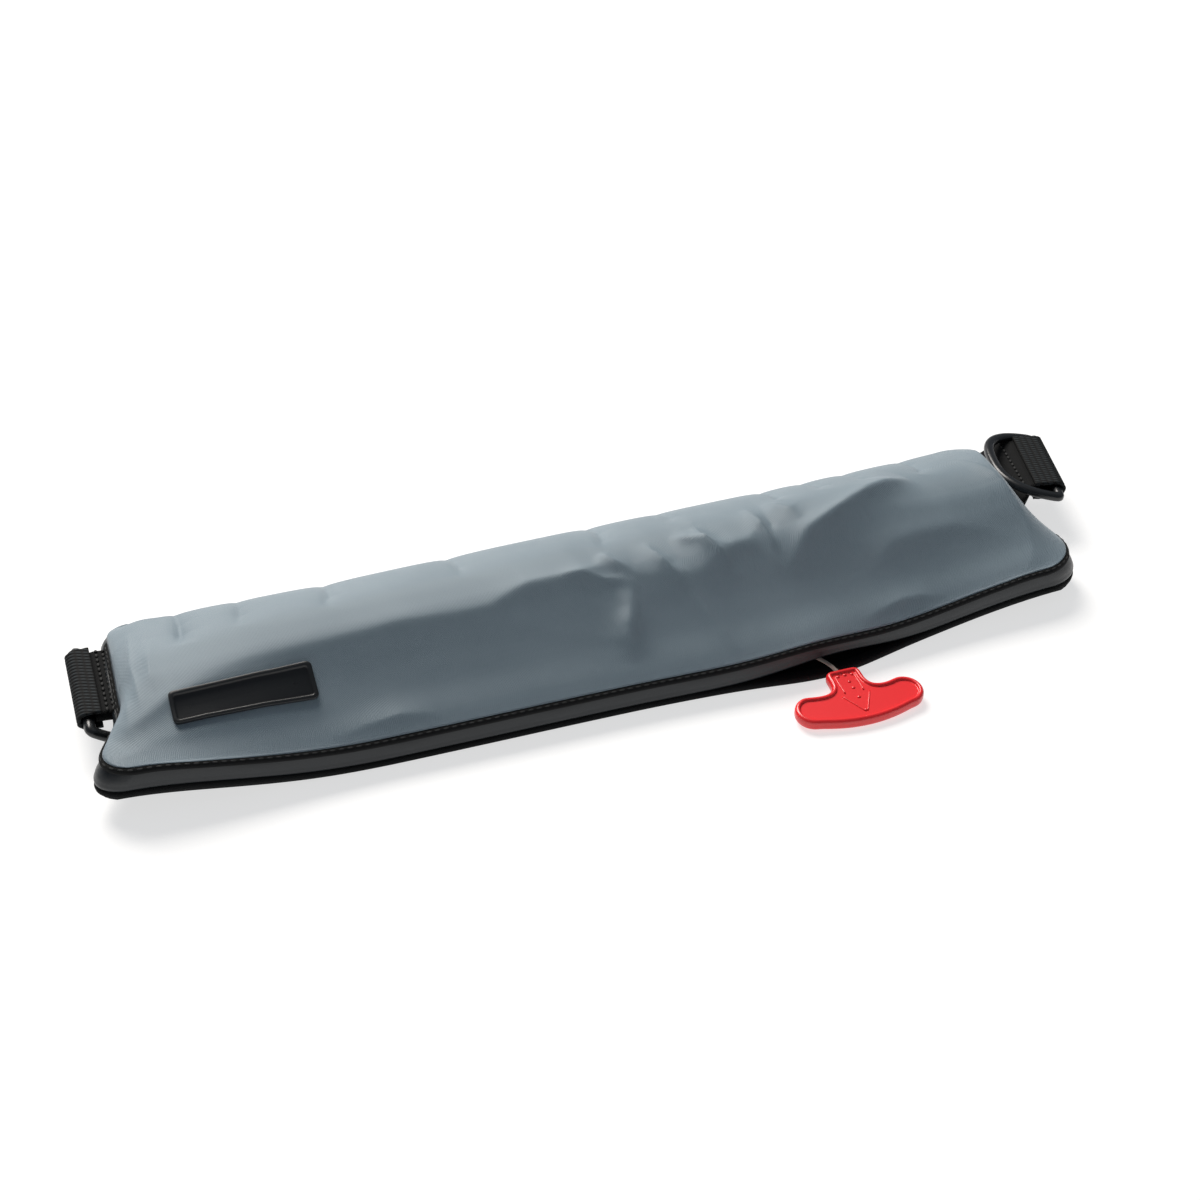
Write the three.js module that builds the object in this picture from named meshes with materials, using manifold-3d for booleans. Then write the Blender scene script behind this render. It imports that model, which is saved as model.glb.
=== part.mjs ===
// A belt pack for an inflatable float: a stuffed cloth pouch with belt loops at its ends and a pull handle.
// Millimetres, +Z up. The pack lies on its back panel, its closing edge towards -Y, its length along X.
// Shapes are laid out from the middle of the closing edge's chord, and the finished group is moved so
// that its origin is the middle of its box on the surface it lies on.

import * as THREE from 'three';
import Module from 'manifold-3d';
import { mergeVertices } from 'three/addons/utils/BufferGeometryUtils.js';

// Pouch
const pouchLength = 387;
const pouchWidth = 86;
const crownHeight = 43.5;
const coverWall = 1.6;
const leftCornerRadius = 13;
const rightCornerRadius = 20;
const backCornerRadius = 8;
const closingEdgeBow = 9;
const leftEndRoll = 17;
const rightEndRoll = 20;
const leftEndLift = 9;
const rightEndLift = 5;
const leftEndCurl = 6;
const rightEndCurl = 1;
const curlLength = 24;
const cornerDroop = 0.3;
const flatShare = 0.45;
const leftEndSlant = 5;
const rightEndSlant = 5;
const leftEndPinch = 12;
const rightEndPinch = 3;
const pinchLength = 40;

// Seam round the pouch, above the back panel's underside
const seamHeight = 13;
const backSeamHeight = 8;
const tabSeamHeight = 8.1;
const pipingDiameter = 2.8;
const bandThickness = 1.4;
const bandSetback = 0.5;

// Back panel
const panelThickness = 1.8;
const bindingThickness = 3.2;
const bindingWidth = 5;
const mouthSag = 4.2;
const mouthRise = 3.8;
const mouthSeamRise = 2.2;
const mouthHalfLength = 26;

// Name patch
const patchLength = 50;
const patchHeight = 13;
const patchThickness = 1.6;
const patchRim = 1.3;
const patchRecess = 0.5;
const patchFromEnd = 32.5;
const patchUp = 13;
const patchTilt = 1.5;

// Belt loops
const webbingWidth = 36;
const webbingThickness = 1.8;
const tabThickness = 4.2;
const tabNarrower = 0.9;
const tabRise = 1.6;
const loopOverlap = 2.2;
const tabLevel = 1.2;
const leftLoopLength = 9;
const rightLoopLength = 13;
const leftBarReach = 8.5;
const rightBarReach = 23.8;
const leftLoopFromBack = 27;
const rightLoopFromBack = 20.5;
const leftLoopTurn = 4;
const leftLoopTilt = 4.5;
const rightLoopTurn = -15;
const rightLoopTilt = 1.5;
const leftLoopRise = 0;
const rightLoopRise = 10;
const leftTabFromBack = 28;
const rightTabFromBack = 25;

// D-rings
const ringBarDiameter = 4;
const ringSectionWidth = 4.2;
const ringSectionThickness = 3.4;
const ringDepth = 25;
const ringSideClearance = 1.8;
const ringSlide = 0.8;
const barClearance = 0.4;
const rightRingRise = 13;
const leftRingDrop = 37;

// Pull handle
const handleWidth = 50;
const handleHeight = 26.8;
const handleChin = 10.2;
const handleNeck = 5.9;
const handleThickness = 4.4;
const lobeRadius = 7;
const stemWidth = 12.8;
const handleFillet = 5;
const handleEdgeRound = 0.8;
const handleRim = 1.7;
const handleRecess = 0.8;
const handleTurn = -1.5;
const handlePitch = 7;
const handleAlong = 75;
const handleAhead = 33.4;

// Pull cord, from inside the pouch out to the top of the handle's stem
const cordDiameter = 1.6;
const cordRoute = [
  [64, 25, 2.95],
  [65, 17, 2.95],
  [66.4, 9, 3.1],
  [68.2, 2, 4.3],
  [70.4, -4, 5.6],
  [72.2, -8.6, 6.2],
  [73.6, -12.6, 6.2],
  [74.7, -16.3, 5.5],
];

const borderSteps = 7;
const seatGap = 0.3;
const bandClear = 0.1;
const half = pouchLength / 2;

// Pouch outline from the closing edge's middle: share of the half length, bow of the closing edge as a
// share of closingEdgeBow, height of the crown as a share of crownHeight
const stations = [
  { along: -1.0, bow: -0.3, crown: 0.8 },
  { along: -0.75, bow: 0.08, crown: 0.955 },
  { along: -0.4, bow: 0.36, crown: 0.98 },
  { along: 0.0, bow: 0.62, crown: 1.0 },
  { along: 0.3, bow: 0.95, crown: 1.0 },
  { along: 0.5, bow: 0.75, crown: 0.99 },
  { along: 0.75, bow: 0.25, crown: 0.97 },
  { along: 1.0, bow: 0.0, crown: 0.94 },
];

// Cross-section of the stuffed cover: share of the width from the closing edge, share of the height
// above the seam
const crossSection = [
  { across: 0.0, up: 0.0 },
  { across: 0.05, up: 0.13 },
  { across: 0.13, up: 0.3 },
  { across: 0.2, up: 0.48 },
  { across: 0.28, up: 0.7 },
  { across: 0.37, up: 0.89 },
  { across: 0.5, up: 1.0 },
  { across: 0.66, up: 0.89 },
  { across: 0.82, up: 0.62 },
  { across: 0.93, up: 0.34 },
  { across: 1.0, up: 0.0 },
];

// Creases and swells of the cloth: a line between two points given as shares of the half length and of
// the width, its height as a share of crownHeight and its half width as a share of pouchWidth
const folds = [
  { x1: -0.62, y1: 0.24, x2: -0.1, y2: 0.3, height: 0.035, spread: 0.07 },
  { x1: -0.1, y1: 0.2, x2: 0.06, y2: 0.44, height: -0.03, spread: 0.06 },
  { x1: 0.14, y1: 0.42, x2: 0.3, y2: 0.14, height: 0.04, spread: 0.07 },
  { x1: 0.34, y1: 0.38, x2: 0.44, y2: 0.16, height: -0.05, spread: 0.07 },
  { x1: 0.36, y1: 0.3, x2: 0.64, y2: 0.62, height: 0.06, spread: 0.08 },
  { x1: 0.6, y1: 0.28, x2: 0.84, y2: 0.34, height: -0.06, spread: 0.13 },
  { x1: -0.98, y1: 0.36, x2: -0.9, y2: 0.5, height: 0.03, spread: 0.05 },
];

function through(rows, key, value, at) {
  // smooth curve through the rows of a table, by cubic pieces with averaged slopes
  const last = rows.length - 1;
  const t = Math.min(Math.max(at, rows[0][key]), rows[last][key]);
  let i = 0;
  while (i < last - 1 && t > rows[i + 1][key]) i += 1;
  const slope = (a, b) => (rows[b][value] - rows[a][value]) / (rows[b][key] - rows[a][key]);
  const m0 = slope(Math.max(i - 1, 0), i + 1);
  const m1 = slope(i, Math.min(i + 2, last));
  const span = rows[i + 1][key] - rows[i][key];
  const s = (t - rows[i][key]) / span;
  const s2 = s * s;
  const s3 = s2 * s;
  return (2 * s3 - 3 * s2 + 1) * rows[i][value] + (s3 - 2 * s2 + s) * span * m0
    + (3 * s2 - 2 * s3) * rows[i + 1][value] + (s3 - s2) * span * m1;
}

function smooth(t) {
  const c = Math.min(Math.max(t, 0), 1);
  return c * c * (3 - 2 * c);
}

function radians(degrees) {
  return degrees * Math.PI / 180;
}

function bell(distance, spread) {
  return Math.exp(-((distance / spread) ** 2));
}

function arcSetback(distance, radius) {
  // how far a rounded corner's edge stands back, at this distance from the side it runs into
  const reach = Math.min(Math.max(1 - distance / radius, 0), 1);
  return radius * (1 - Math.sqrt(1 - reach * reach));
}

function reachAt(p, fromFront, inset) {
  // half length at this distance from the front, on the side p lies on
  const width = pouchWidth - 2 * inset;
  const slant = p < 0 ? leftEndSlant : rightEndSlant;
  const cornerRadius = p < 0 ? leftCornerRadius : rightCornerRadius;
  const corners = arcSetback(fromFront, cornerRadius) + arcSetback(width - fromFront, backCornerRadius);
  const pinch = (p < 0 ? leftEndPinch : rightEndPinch) * smooth((fromFront + inset) / pinchLength);
  return half - inset - Math.tan(radians(slant)) * (fromFront + inset) - pinch - corners;
}

function plan(p, q, inset = 0) {
  // p runs from -1 at the left end to 1 at the right, q from 0 at the closing edge to 1 at the back
  const width = pouchWidth - 2 * inset;
  const x = p * reachAt(p, q * width, inset);
  const bow = closingEdgeBow * through(stations, 'along', 'bow', x / half);
  return { x, y: inset - bow + q * (width + bow) };
}

function lift(p, q) {
  // how far the underside rises off the surface: the ends lift, and curl up under the belt loops
  const broad = smooth((Math.abs(p) - flatShare) / (1 - flatShare)) ** 1.5;
  const ramp = Math.max(1 - (1 - Math.abs(p)) * half / curlLength, 0);
  const curl = p < 0 ? leftEndCurl : rightEndCurl;
  const endLift = p < 0 ? leftEndLift : rightEndLift;
  const pulled = Math.min(Math.max(q - 0.28, 0) / 0.43, 1) - cornerDroop * smooth((q - 0.72) / 0.28);
  return endLift * broad + curl * (0.6 * ramp + 0.4 * ramp * ramp) * pulled;
}

function seamAbovePanel(p, q) {
  // height of the cover's seam over the underside of the panel
  const base = seamHeight + (backSeamHeight - seamHeight) * smooth((q - 0.86) / 0.14);
  const onEnd = smooth((Math.abs(p) - 0.9) / 0.1);
  const overTab = smooth((q - 0.22) / 0.24);
  const gape = mouthSeamRise * atMouth(p * half) * Math.max(1 - q / 0.2, 0);
  return base + gape + (tabSeamHeight - base) * onEnd * overTab;
}

function foldHeight(x, q) {
  let sum = 0;
  for (const fold of folds) {
    const from = new THREE.Vector2(fold.x1 * half, fold.y1 * pouchWidth);
    const to = new THREE.Vector2(fold.x2 * half, fold.y2 * pouchWidth);
    const run = to.clone().sub(from);
    const here = new THREE.Vector2(x, q * pouchWidth).sub(from);
    const along = Math.min(Math.max(here.dot(run) / run.lengthSq(), 0), 1);
    const away = here.sub(run.multiplyScalar(along)).length();
    sum += fold.height * crownHeight * bell(away, fold.spread * pouchWidth);
  }
  return sum;
}

function coverPoint(p, q, inset = 0) {
  const { x, y } = plan(p, q, inset);
  const seam = lift(p, q) + seamAbovePanel(p, q);
  const crown = crownHeight * through(stations, 'along', 'crown', x / half);
  const section = through(crossSection, 'across', 'up', q);
  const rollShare = (p < 0 ? leftEndRoll : rightEndRoll) / half;
  const intoEnd = Math.max((Math.abs(p) - 1 + rollShare) / rollShare, 0);
  const end = p < 0 ? Math.sqrt(Math.max(1 - intoEnd ** 2.4, 0)) : Math.max(1 - intoEnd ** 1.6, 0) ** 0.75;
  const rise = Math.max(crown - seam - inset, 0) + foldHeight(x, q);
  return new THREE.Vector3(x, y, seam + rise * Math.max(section, 0) * end);
}

function solidFrom(positions, triangles) {
  const geometry = new THREE.BufferGeometry();
  geometry.setAttribute('position', new THREE.Float32BufferAttribute(positions, 3));
  geometry.setIndex(triangles);
  geometry.computeVertexNormals();
  return geometry;
}

function gridShell(across, along, topPoint, bottomPoint) {
  // a sheet with thickness: one grid on top, one beneath, and a wall round the edge
  const positions = [];
  const columns = across.length;
  const rows = along.length;
  for (const point of [topPoint, bottomPoint]) {
    for (const a of along) {
      for (const c of across) positions.push(...point(c, a).toArray());
    }
  }
  const under = columns * rows;
  const triangles = [];
  for (let j = 0; j < rows - 1; j += 1) {
    for (let i = 0; i < columns - 1; i += 1) {
      const a = j * columns + i;
      const b = a + 1;
      const c = a + columns;
      const d = c + 1;
      triangles.push(a, b, d, a, d, c);
      triangles.push(under + a, under + d, under + b, under + a, under + c, under + d);
    }
  }
  const edge = [];
  for (let i = 0; i < columns - 1; i += 1) edge.push(i);
  for (let j = 0; j < rows - 1; j += 1) edge.push(j * columns + columns - 1);
  for (let i = columns - 1; i > 0; i -= 1) edge.push((rows - 1) * columns + i);
  for (let j = rows - 1; j > 0; j -= 1) edge.push(j * columns);
  edge.forEach((a, k) => {
    const b = edge[(k + 1) % edge.length];
    triangles.push(a, under + a, under + b, a, under + b, b);
  });
  return solidFrom(positions, triangles);
}

function sweep(sections, closed) {
  // joins a row of matching sections, each a loop of points seen anticlockwise from ahead
  const sides = sections[0].length;
  const positions = sections.flat().flatMap((point) => point.toArray());
  const triangles = [];
  const count = sections.length;
  for (let j = 0; j < (closed ? count : count - 1); j += 1) {
    const next = (j + 1) % count;
    for (let i = 0; i < sides; i += 1) {
      const k = (i + 1) % sides;
      const a = j * sides + i;
      const b = j * sides + k;
      const c = next * sides + i;
      const d = next * sides + k;
      triangles.push(a, b, d, a, d, c);
    }
  }
  if (!closed) {
    const start = (count - 1) * sides;
    for (let i = 1; i < sides - 1; i += 1) {
      triangles.push(0, i + 1, i);
      triangles.push(start, start + i, start + i + 1);
    }
  }
  return solidFrom(positions, triangles);
}

function arcRows(radius, steps) {
  // distances from a side at which a rounded corner turns by equal angles
  const list = [];
  for (let k = 0; k < steps; k += 1) list.push(radius * (1 - Math.cos(k * Math.PI / 2 / steps)));
  return list;
}

function acrossRows(middleSteps) {
  // shares of the width: fine round both corners, even between them
  const front = arcRows(rightCornerRadius, 5).map((d) => d / pouchWidth);
  const back = arcRows(backCornerRadius, 4).map((d) => 1 - d / pouchWidth).reverse();
  const start = rightCornerRadius / pouchWidth;
  const end = 1 - backCornerRadius / pouchWidth;
  const middle = [];
  for (let k = 0; k <= middleSteps; k += 1) middle.push(start + (end - start) * k / middleSteps);
  return [...front, ...middle, ...back];
}

function lengthRows(middleSteps, endShares, leftReach, rightReach) {
  // shares of the half length: even in the middle, and at the given shares of a reach at each end
  const left = endShares.map((share) => -1 + leftReach / half * (1 - share)).reverse();
  const right = endShares.map((share) => 1 - rightReach / half * (1 - share));
  const from = -1 + leftReach / half;
  const to = 1 - rightReach / half;
  const middle = [];
  for (let k = 0; k <= middleSteps; k += 1) middle.push(from + (to - from) * k / middleSteps);
  return [...left, ...middle, ...right];
}

function border(lengths, acrosses) {
  // the pouch's outline, anticlockwise from the left end of the closing edge, with outward directions
  const stops = [
    ...lengths.map((p) => [p, 0]),
    ...acrosses.slice(1).map((q) => [1, q]),
    ...lengths.slice(0, -1).reverse().map((p) => [p, 1]),
    ...acrosses.slice(1, -1).reverse().map((q) => [-1, q]),
  ];
  const points = stops.map(([p, q]) => ({ p, q, ...plan(p, q) }));
  return points.map((point, k) => {
    const before = points[(k + points.length - 1) % points.length];
    const after = points[(k + 1) % points.length];
    const run = Math.hypot(after.x - before.x, after.y - before.y);
    return { ...point, nx: (after.y - before.y) / run, ny: (before.x - after.x) / run };
  });
}

function atMouth(x) {
  // the closing edge gapes where the pull cord comes out
  return bell(x - handleAlong, mouthHalfLength);
}

function frontCover() {
  const lengths = lengthRows(42, [0.3, 0.55, 0.75, 0.9, 1], leftEndRoll, rightEndRoll);
  const acrosses = acrossRows(11);
  return gridShell(
    lengths,
    acrosses,
    (p, q) => coverPoint(p, q),
    (p, q) => coverPoint(p, q, coverWall),
  );
}

function backPanel() {
  const lengths = lengthRows(16, [0.25, 0.5, 0.79, 0.81, 1], curlLength, curlLength);
  const edge = bindingWidth / pouchWidth;
  const acrosses = acrossRows(borderSteps);
  const heightOver = (p, q) => {
    const nearEdge = Math.min(q, 1 - q) < edge || Math.abs(p) > 1 - bindingWidth / half;
    return nearEdge ? bindingThickness : panelThickness;
  };
  const place = (p, q, height) => {
    const { x, y } = plan(p, q);
    const sag = mouthSag * atMouth(x) * Math.max(1 - q / 0.2, 0);
    return new THREE.Vector3(x, y - sag, lift(p, q) + height);
  };
  return gridShell(
    lengths,
    acrosses,
    (p, q) => place(p, q, heightOver(p, q)),
    (p, q) => place(p, q, 0),
  );
}

function closureBand(outline) {
  const sections = outline.map((stop) => {
    const base = lift(stop.p, stop.q);
    const gape = stop.q === 0 ? mouthRise * atMouth(stop.x) : 0;
    const low = base + bindingThickness + seatGap + gape;
    const high = base + seamAbovePanel(stop.p, stop.q) - seatGap;
    const top = Math.max(high - (hasPiping(stop) ? pipingDiameter + seatGap : bandClear), low + 1);
    const outer = bandSetback;
    const inner = bandSetback + bandThickness;
    const place = (back, z) => new THREE.Vector3(stop.x - stop.nx * back, stop.y - stop.ny * back, z);
    return [place(outer, low), place(inner, low), place(inner, top), place(outer, top)];
  });
  return sweep(sections, true);
}

function hasPiping(stop) {
  // the welt runs along the closing edge and up each end as far as the belt loop
  const tabFromBack = stop.p < 0 ? leftTabFromBack : rightTabFromBack;
  return (1 - stop.q) * pouchWidth > tabFromBack + webbingWidth / 2 + pipingDiameter;
}

function edgePiping(outline) {
  const radius = pipingDiameter / 2;
  const run = outline.filter(hasPiping);
  const first = run.findIndex((stop) => stop.p === -1 && stop.q > 0);
  const ordered = [...run.slice(first), ...run.slice(0, first)];
  const sections = ordered.map((stop) => {
    const z = lift(stop.p, stop.q) + seamAbovePanel(stop.p, stop.q) - seatGap - radius;
    const section = [];
    for (let k = 0; k < 8; k += 1) {
      const angle = k * Math.PI / 4;
      const back = bandSetback + radius * (0.5 + Math.cos(angle));
      section.push(new THREE.Vector3(
        stop.x - stop.nx * back,
        stop.y - stop.ny * back,
        z + radius * Math.sin(angle),
      ));
    }
    return section;
  });
  return sweep(sections, false);
}

function namePatch() {
  const step = 0.002;
  const from = -half + patchFromEnd;
  const over = (x, q) => coverPoint(x / reachAt(-1, q * pouchWidth, 0), q);
  const raised = (x, q, height) => {
    const here = over(x, q);
    const right = over(x + step * half, q).sub(here);
    const up = over(x, q + step).sub(here);
    return here.add(right.cross(up).normalize().multiplyScalar(height));
  };
  const lowest = patchUp / pouchWidth;
  let highest = lowest;
  let run = 0;
  while (run < patchHeight) {
    run += over(from, highest + step).distanceTo(over(from, highest));
    highest += step;
  }
  const climb = Math.tan(radians(patchTilt)) * patchLength / pouchWidth;
  const rimAlong = patchRim / patchLength;
  const rimUp = patchRim / patchHeight;
  const shares = (rim, steps) => {
    const list = [0, rim, rim * 1.35];
    for (let k = 1; k < steps; k += 1) list.push(rim * 1.35 + (1 - rim * 2.7) * k / steps);
    return [...list, 1 - rim * 1.35, 1 - rim, 1];
  };
  const inField = (s, rim) => s > rim * 1.2 && s < 1 - rim * 1.2;
  const place = (s, t, height) => {
    return raised(from + patchLength * s, lowest + climb * s + (highest - lowest) * t, height);
  };
  return gridShell(
    shares(rimAlong, 10),
    shares(rimUp, 3),
    (s, t) => {
      const recess = inField(s, rimAlong) && inField(t, rimUp) ? patchRecess : 0;
      return place(s, t, seatGap + patchThickness - recess);
    },
    (s, t) => place(s, t, seatGap),
  );
}

function extrudeAcross(shape, width) {
  // a side view in X and Z carried across Y, centred on the middle of its width
  const geometry = new THREE.ExtrudeGeometry(shape, { depth: width, bevelEnabled: false, curveSegments: 8 });
  geometry.rotateX(Math.PI / 2);
  geometry.translate(0, width / 2, 0);
  return geometry;
}

function webbingLoop(loopLength) {
  // webbing folded round the bar, which lies along Y through the origin, both legs towards -X
  const inner = ringBarDiameter / 2 + barClearance;
  const outer = inner + webbingThickness;
  const start = outer - loopLength;
  const shape = new THREE.Shape();
  shape.moveTo(start, inner);
  shape.lineTo(0, inner);
  shape.absarc(0, 0, inner, Math.PI / 2, -Math.PI / 2, true);
  shape.lineTo(start, -inner);
  shape.lineTo(start, -outer);
  shape.lineTo(0, -outer);
  shape.absarc(0, 0, outer, -Math.PI / 2, Math.PI / 2, false);
  shape.lineTo(start, outer);
  shape.closePath();
  return extrudeAcross(shape, webbingWidth);
}

function dRing() {
  // the bar lies along Y through the origin and the bow reaches towards -X
  const inside = webbingWidth / 2 + ringSideClearance;
  const side = inside + ringSectionWidth / 2;
  const bowDepth = ringDepth - ringSectionWidth / 2;
  const route = [];
  const barSteps = 4;
  for (let k = 0; k < barSteps; k += 1) {
    const share = (k + 0.5) / barSteps;
    route.push({ x: 0, y: side * 0.9 * (2 * share - 1), bar: true });
  }
  const bowSteps = 22;
  for (let k = 0; k <= bowSteps; k += 1) {
    const angle = Math.PI * k / bowSteps;
    const squared = 0.76;
    route.push({
      x: -bowDepth * Math.sin(angle) ** squared,
      y: side * Math.sign(Math.cos(angle)) * Math.abs(Math.cos(angle)) ** squared,
      bar: false,
    });
  }
  const sections = route.map((stop, k) => {
    const before = route[(k + route.length - 1) % route.length];
    const after = route[(k + 1) % route.length];
    const run = Math.hypot(after.x - before.x, after.y - before.y);
    const nx = (after.y - before.y) / run;
    const ny = (before.x - after.x) / run;
    const halfWidth = (stop.bar ? ringBarDiameter : ringSectionWidth) / 2;
    const halfThick = (stop.bar ? ringBarDiameter : ringSectionThickness) / 2;
    const section = [];
    for (let i = 0; i < 8; i += 1) {
      const angle = (i + 0.5) * Math.PI / 4;
      const out = halfWidth * Math.cos(angle);
      section.push(new THREE.Vector3(stop.x + nx * out, stop.y + ny * out, halfThick * Math.sin(angle)));
    }
    return section;
  });
  return sweep(sections.reverse(), true);
}

function handleOutline(inset) {
  // a T with a bowed crossbar, its lobes' line on Y = 0 and its stem towards +Y
  const lobe = lobeRadius - inset;
  const lobeAt = handleWidth / 2 - lobeRadius;
  const stemHalf = stemWidth / 2 - inset;
  const stemTop = handleHeight - handleChin - inset;
  const chin = inset - handleChin;
  const fillet = handleFillet + inset;
  const neck = handleNeck - inset;
  const shape = new THREE.Shape();
  shape.moveTo(-lobeAt, -lobe);
  shape.quadraticCurveTo(-lobeAt / 2, chin, 0, chin);
  shape.quadraticCurveTo(lobeAt / 2, chin, lobeAt, -lobe);
  shape.absarc(lobeAt, 0, lobe, -Math.PI / 2, Math.PI * 0.55, false);
  shape.quadraticCurveTo(stemHalf + fillet * 1.6, neck, stemHalf + fillet, neck);
  shape.quadraticCurveTo(stemHalf, neck, stemHalf, neck + fillet);
  shape.lineTo(stemHalf, stemTop - 2);
  shape.quadraticCurveTo(stemHalf, stemTop, stemHalf - 2, stemTop);
  shape.lineTo(-stemHalf + 2, stemTop);
  shape.quadraticCurveTo(-stemHalf, stemTop, -stemHalf, stemTop - 2);
  shape.lineTo(-stemHalf, neck + fillet);
  shape.quadraticCurveTo(-stemHalf, neck, -stemHalf - fillet, neck);
  shape.quadraticCurveTo(-stemHalf - fillet * 1.6, neck, -lobeAt - lobe * Math.sin(Math.PI * 0.05), lobe);
  shape.absarc(-lobeAt, 0, lobe, Math.PI * 0.55, Math.PI * 1.5, false);
  return shape;
}

const wasm = await Module();
wasm.setup();

function toManifold(geometry) {
  const bare = geometry.clone();
  bare.deleteAttribute('normal');
  bare.deleteAttribute('uv');
  const merged = mergeVertices(bare, 1e-4);
  return new wasm.Manifold(new wasm.Mesh({
    numProp: 3,
    vertProperties: new Float32Array(merged.attributes.position.array),
    triVerts: new Uint32Array(merged.index.array),
  }));
}

function fromManifold(solid) {
  const mesh = solid.getMesh();
  const geometry = new THREE.BufferGeometry();
  geometry.setAttribute('position', new THREE.BufferAttribute(mesh.vertProperties, 3));
  geometry.setIndex(new THREE.BufferAttribute(mesh.triVerts, 1));
  geometry.computeVertexNormals();
  return geometry;
}

function pullHandle() {
  // moulded plate with a rounded edge and a shallow field sunk inside its rim
  const plate = new THREE.ExtrudeGeometry(handleOutline(handleEdgeRound), {
    depth: handleThickness - 2 * handleEdgeRound,
    bevelEnabled: true,
    bevelThickness: handleEdgeRound,
    bevelSize: handleEdgeRound,
    bevelSegments: 2,
    curveSegments: 6,
  });
  plate.translate(0, 0, handleEdgeRound - handleThickness / 2);
  const field = new THREE.ExtrudeGeometry(handleOutline(handleRim), {
    depth: handleThickness,
    bevelEnabled: false,
    curveSegments: 6,
  });
  field.translate(0, 0, handleThickness / 2 - handleRecess);
  return fromManifold(toManifold(plate).subtract(toManifold(field)));
}

function pullCord() {
  const route = new THREE.CatmullRomCurve3(cordRoute.map((point) => new THREE.Vector3(...point)));
  const section = new THREE.Shape();
  section.absarc(0, 0, cordDiameter / 2, 0, Math.PI * 2, false);
  return new THREE.ExtrudeGeometry(section, { extrudePath: route, steps: 12, curveSegments: 8 });
}

function finish(color, roughness) {
  return new THREE.MeshStandardMaterial({ color, roughness, metalness: 0, flatShading: false });
}

const greyCloth = finish(0x6f8189, 0.6);
const blackSatin = finish(0x33373b, 0.5);
const blackCloth = finish(0x17191b, 0.85);
const blackWebbing = finish(0x1a1c1e, 0.9);
const blackRubber = finish(0x1c1d1f, 0.55);
const blackPlastic = finish(0x2b2d2f, 0.45);
const redPlastic = finish(0xe32a33, 0.4);
const greyCord = finish(0x7c756f, 0.9);

function named(name, geometry, material) {
  const mesh = new THREE.Mesh(geometry, material);
  mesh.name = name;
  return mesh;
}

function tabSolid(p, q, loop) {
  // flat strap end, from the pouch's end edge to between the loop's legs
  const halfThick = tabThickness / 2;
  const halfWidth = webbingWidth / 2 - tabNarrower;
  const reach = halfWidth / pouchWidth;
  const side = Math.sign(p);
  const rooted = [q - reach, q + reach].map((at) => {
    const { x, y } = plan(p, at);
    const edge = plan(p, at + 0.01);
    const slope = new THREE.Vector2(edge.x - x, edge.y - y).normalize();
    return new THREE.Vector3(
      x + side * seatGap * slope.y,
      y - side * seatGap * slope.x,
      lift(p, at) + tabRise,
    );
  });
  const mouth = ringBarDiameter / 2 + barClearance + webbingThickness - loop.length;
  const inLoop = (at) => [-1, 1].map((end) => {
    const local = new THREE.Vector3(at, end * side * halfWidth, 0);
    return local.applyMatrix4(loop.matrix);
  });
  const up = new THREE.Vector3(0, 0, halfThick);
  const corners = (pair) => [
    pair[0].clone().sub(up),
    pair[1].clone().sub(up),
    pair[1].clone().add(up),
    pair[0].clone().add(up),
  ];
  const sections = [rooted, inLoop(mouth - tabLevel), inLoop(mouth + loopOverlap)].map(corners);
  return sweep(side > 0 ? sections : sections.reverse(), false);
}

function beltEnd(side) {
  // strap end, webbing loop and ring at one end of the pouch
  const left = side === 'left';
  const p = left ? -1 : 1;
  const q = 1 - (left ? leftTabFromBack : rightTabFromBack) / pouchWidth;
  const turn = radians(left ? leftLoopTurn : rightLoopTurn);
  const reach = left ? leftBarReach : rightBarReach;
  const loopLength = left ? leftLoopLength : rightLoopLength;
  const barAt = 1 - (left ? leftLoopFromBack : rightLoopFromBack) / pouchWidth;
  const seat = plan(p, barAt);
  const group = new THREE.Group();
  const rise = left ? leftLoopRise : rightLoopRise;
  group.position.set(seat.x + p * reach, seat.y, lift(p, q) + tabRise + rise);
  group.rotation.order = 'ZXY';
  group.rotation.z = left ? Math.PI - turn : turn;
  group.rotation.x = p * radians(left ? leftLoopTilt : rightLoopTilt);
  group.updateMatrix();
  const loop = named(`webbing_loop_${side}`, webbingLoop(loopLength), blackWebbing);
  const ring = named(`d_ring_${side}`, dRing(), blackPlastic);
  ring.rotation.y = radians(left ? -leftRingDrop : rightRingRise);
  ring.position.y = left ? ringSlide : -ringSlide;
  group.add(loop, ring);
  const placed = { length: loopLength, matrix: group.matrix };
  const tab = named(`strap_tab_${side}`, tabSolid(p, q, placed), blackCloth);
  return [tab, group];
}

const pouch = new THREE.Group();
const outline = border(lengthRows(34, [0.5, 1], leftEndRoll, rightEndRoll), acrossRows(borderSteps));
pouch.add(
  named('front_cover', frontCover(), greyCloth),
  named('back_panel', backPanel(), blackCloth),
  named('closure_band', closureBand(outline), blackSatin),
  named('edge_piping', edgePiping(outline), blackCloth),
  named('name_patch', namePatch(), blackRubber),
);
pouch.add(...beltEnd('left'), ...beltEnd('right'));

const handle = named('pull_handle', pullHandle(), redPlastic);
const handleLow = handleChin * Math.sin(radians(handlePitch)) + handleThickness / 2;
handle.position.set(handleAlong, -handleAhead, handleLow);
handle.rotation.order = 'ZXY';
handle.rotation.z = radians(handleTurn);
handle.rotation.x = radians(handlePitch);
const cord = named('pull_cord', pullCord(), greyCord);

const beltPack = new THREE.Group();
pouch.updateMatrixWorld(true);
const standing = new THREE.Box3().setFromObject(pouch, true);
const middle = standing.getCenter(new THREE.Vector3());
beltPack.add(pouch, cord, handle);
beltPack.position.set(-middle.x, -middle.y, -standing.min.z);

export default beltPack;
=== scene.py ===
import math

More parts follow.
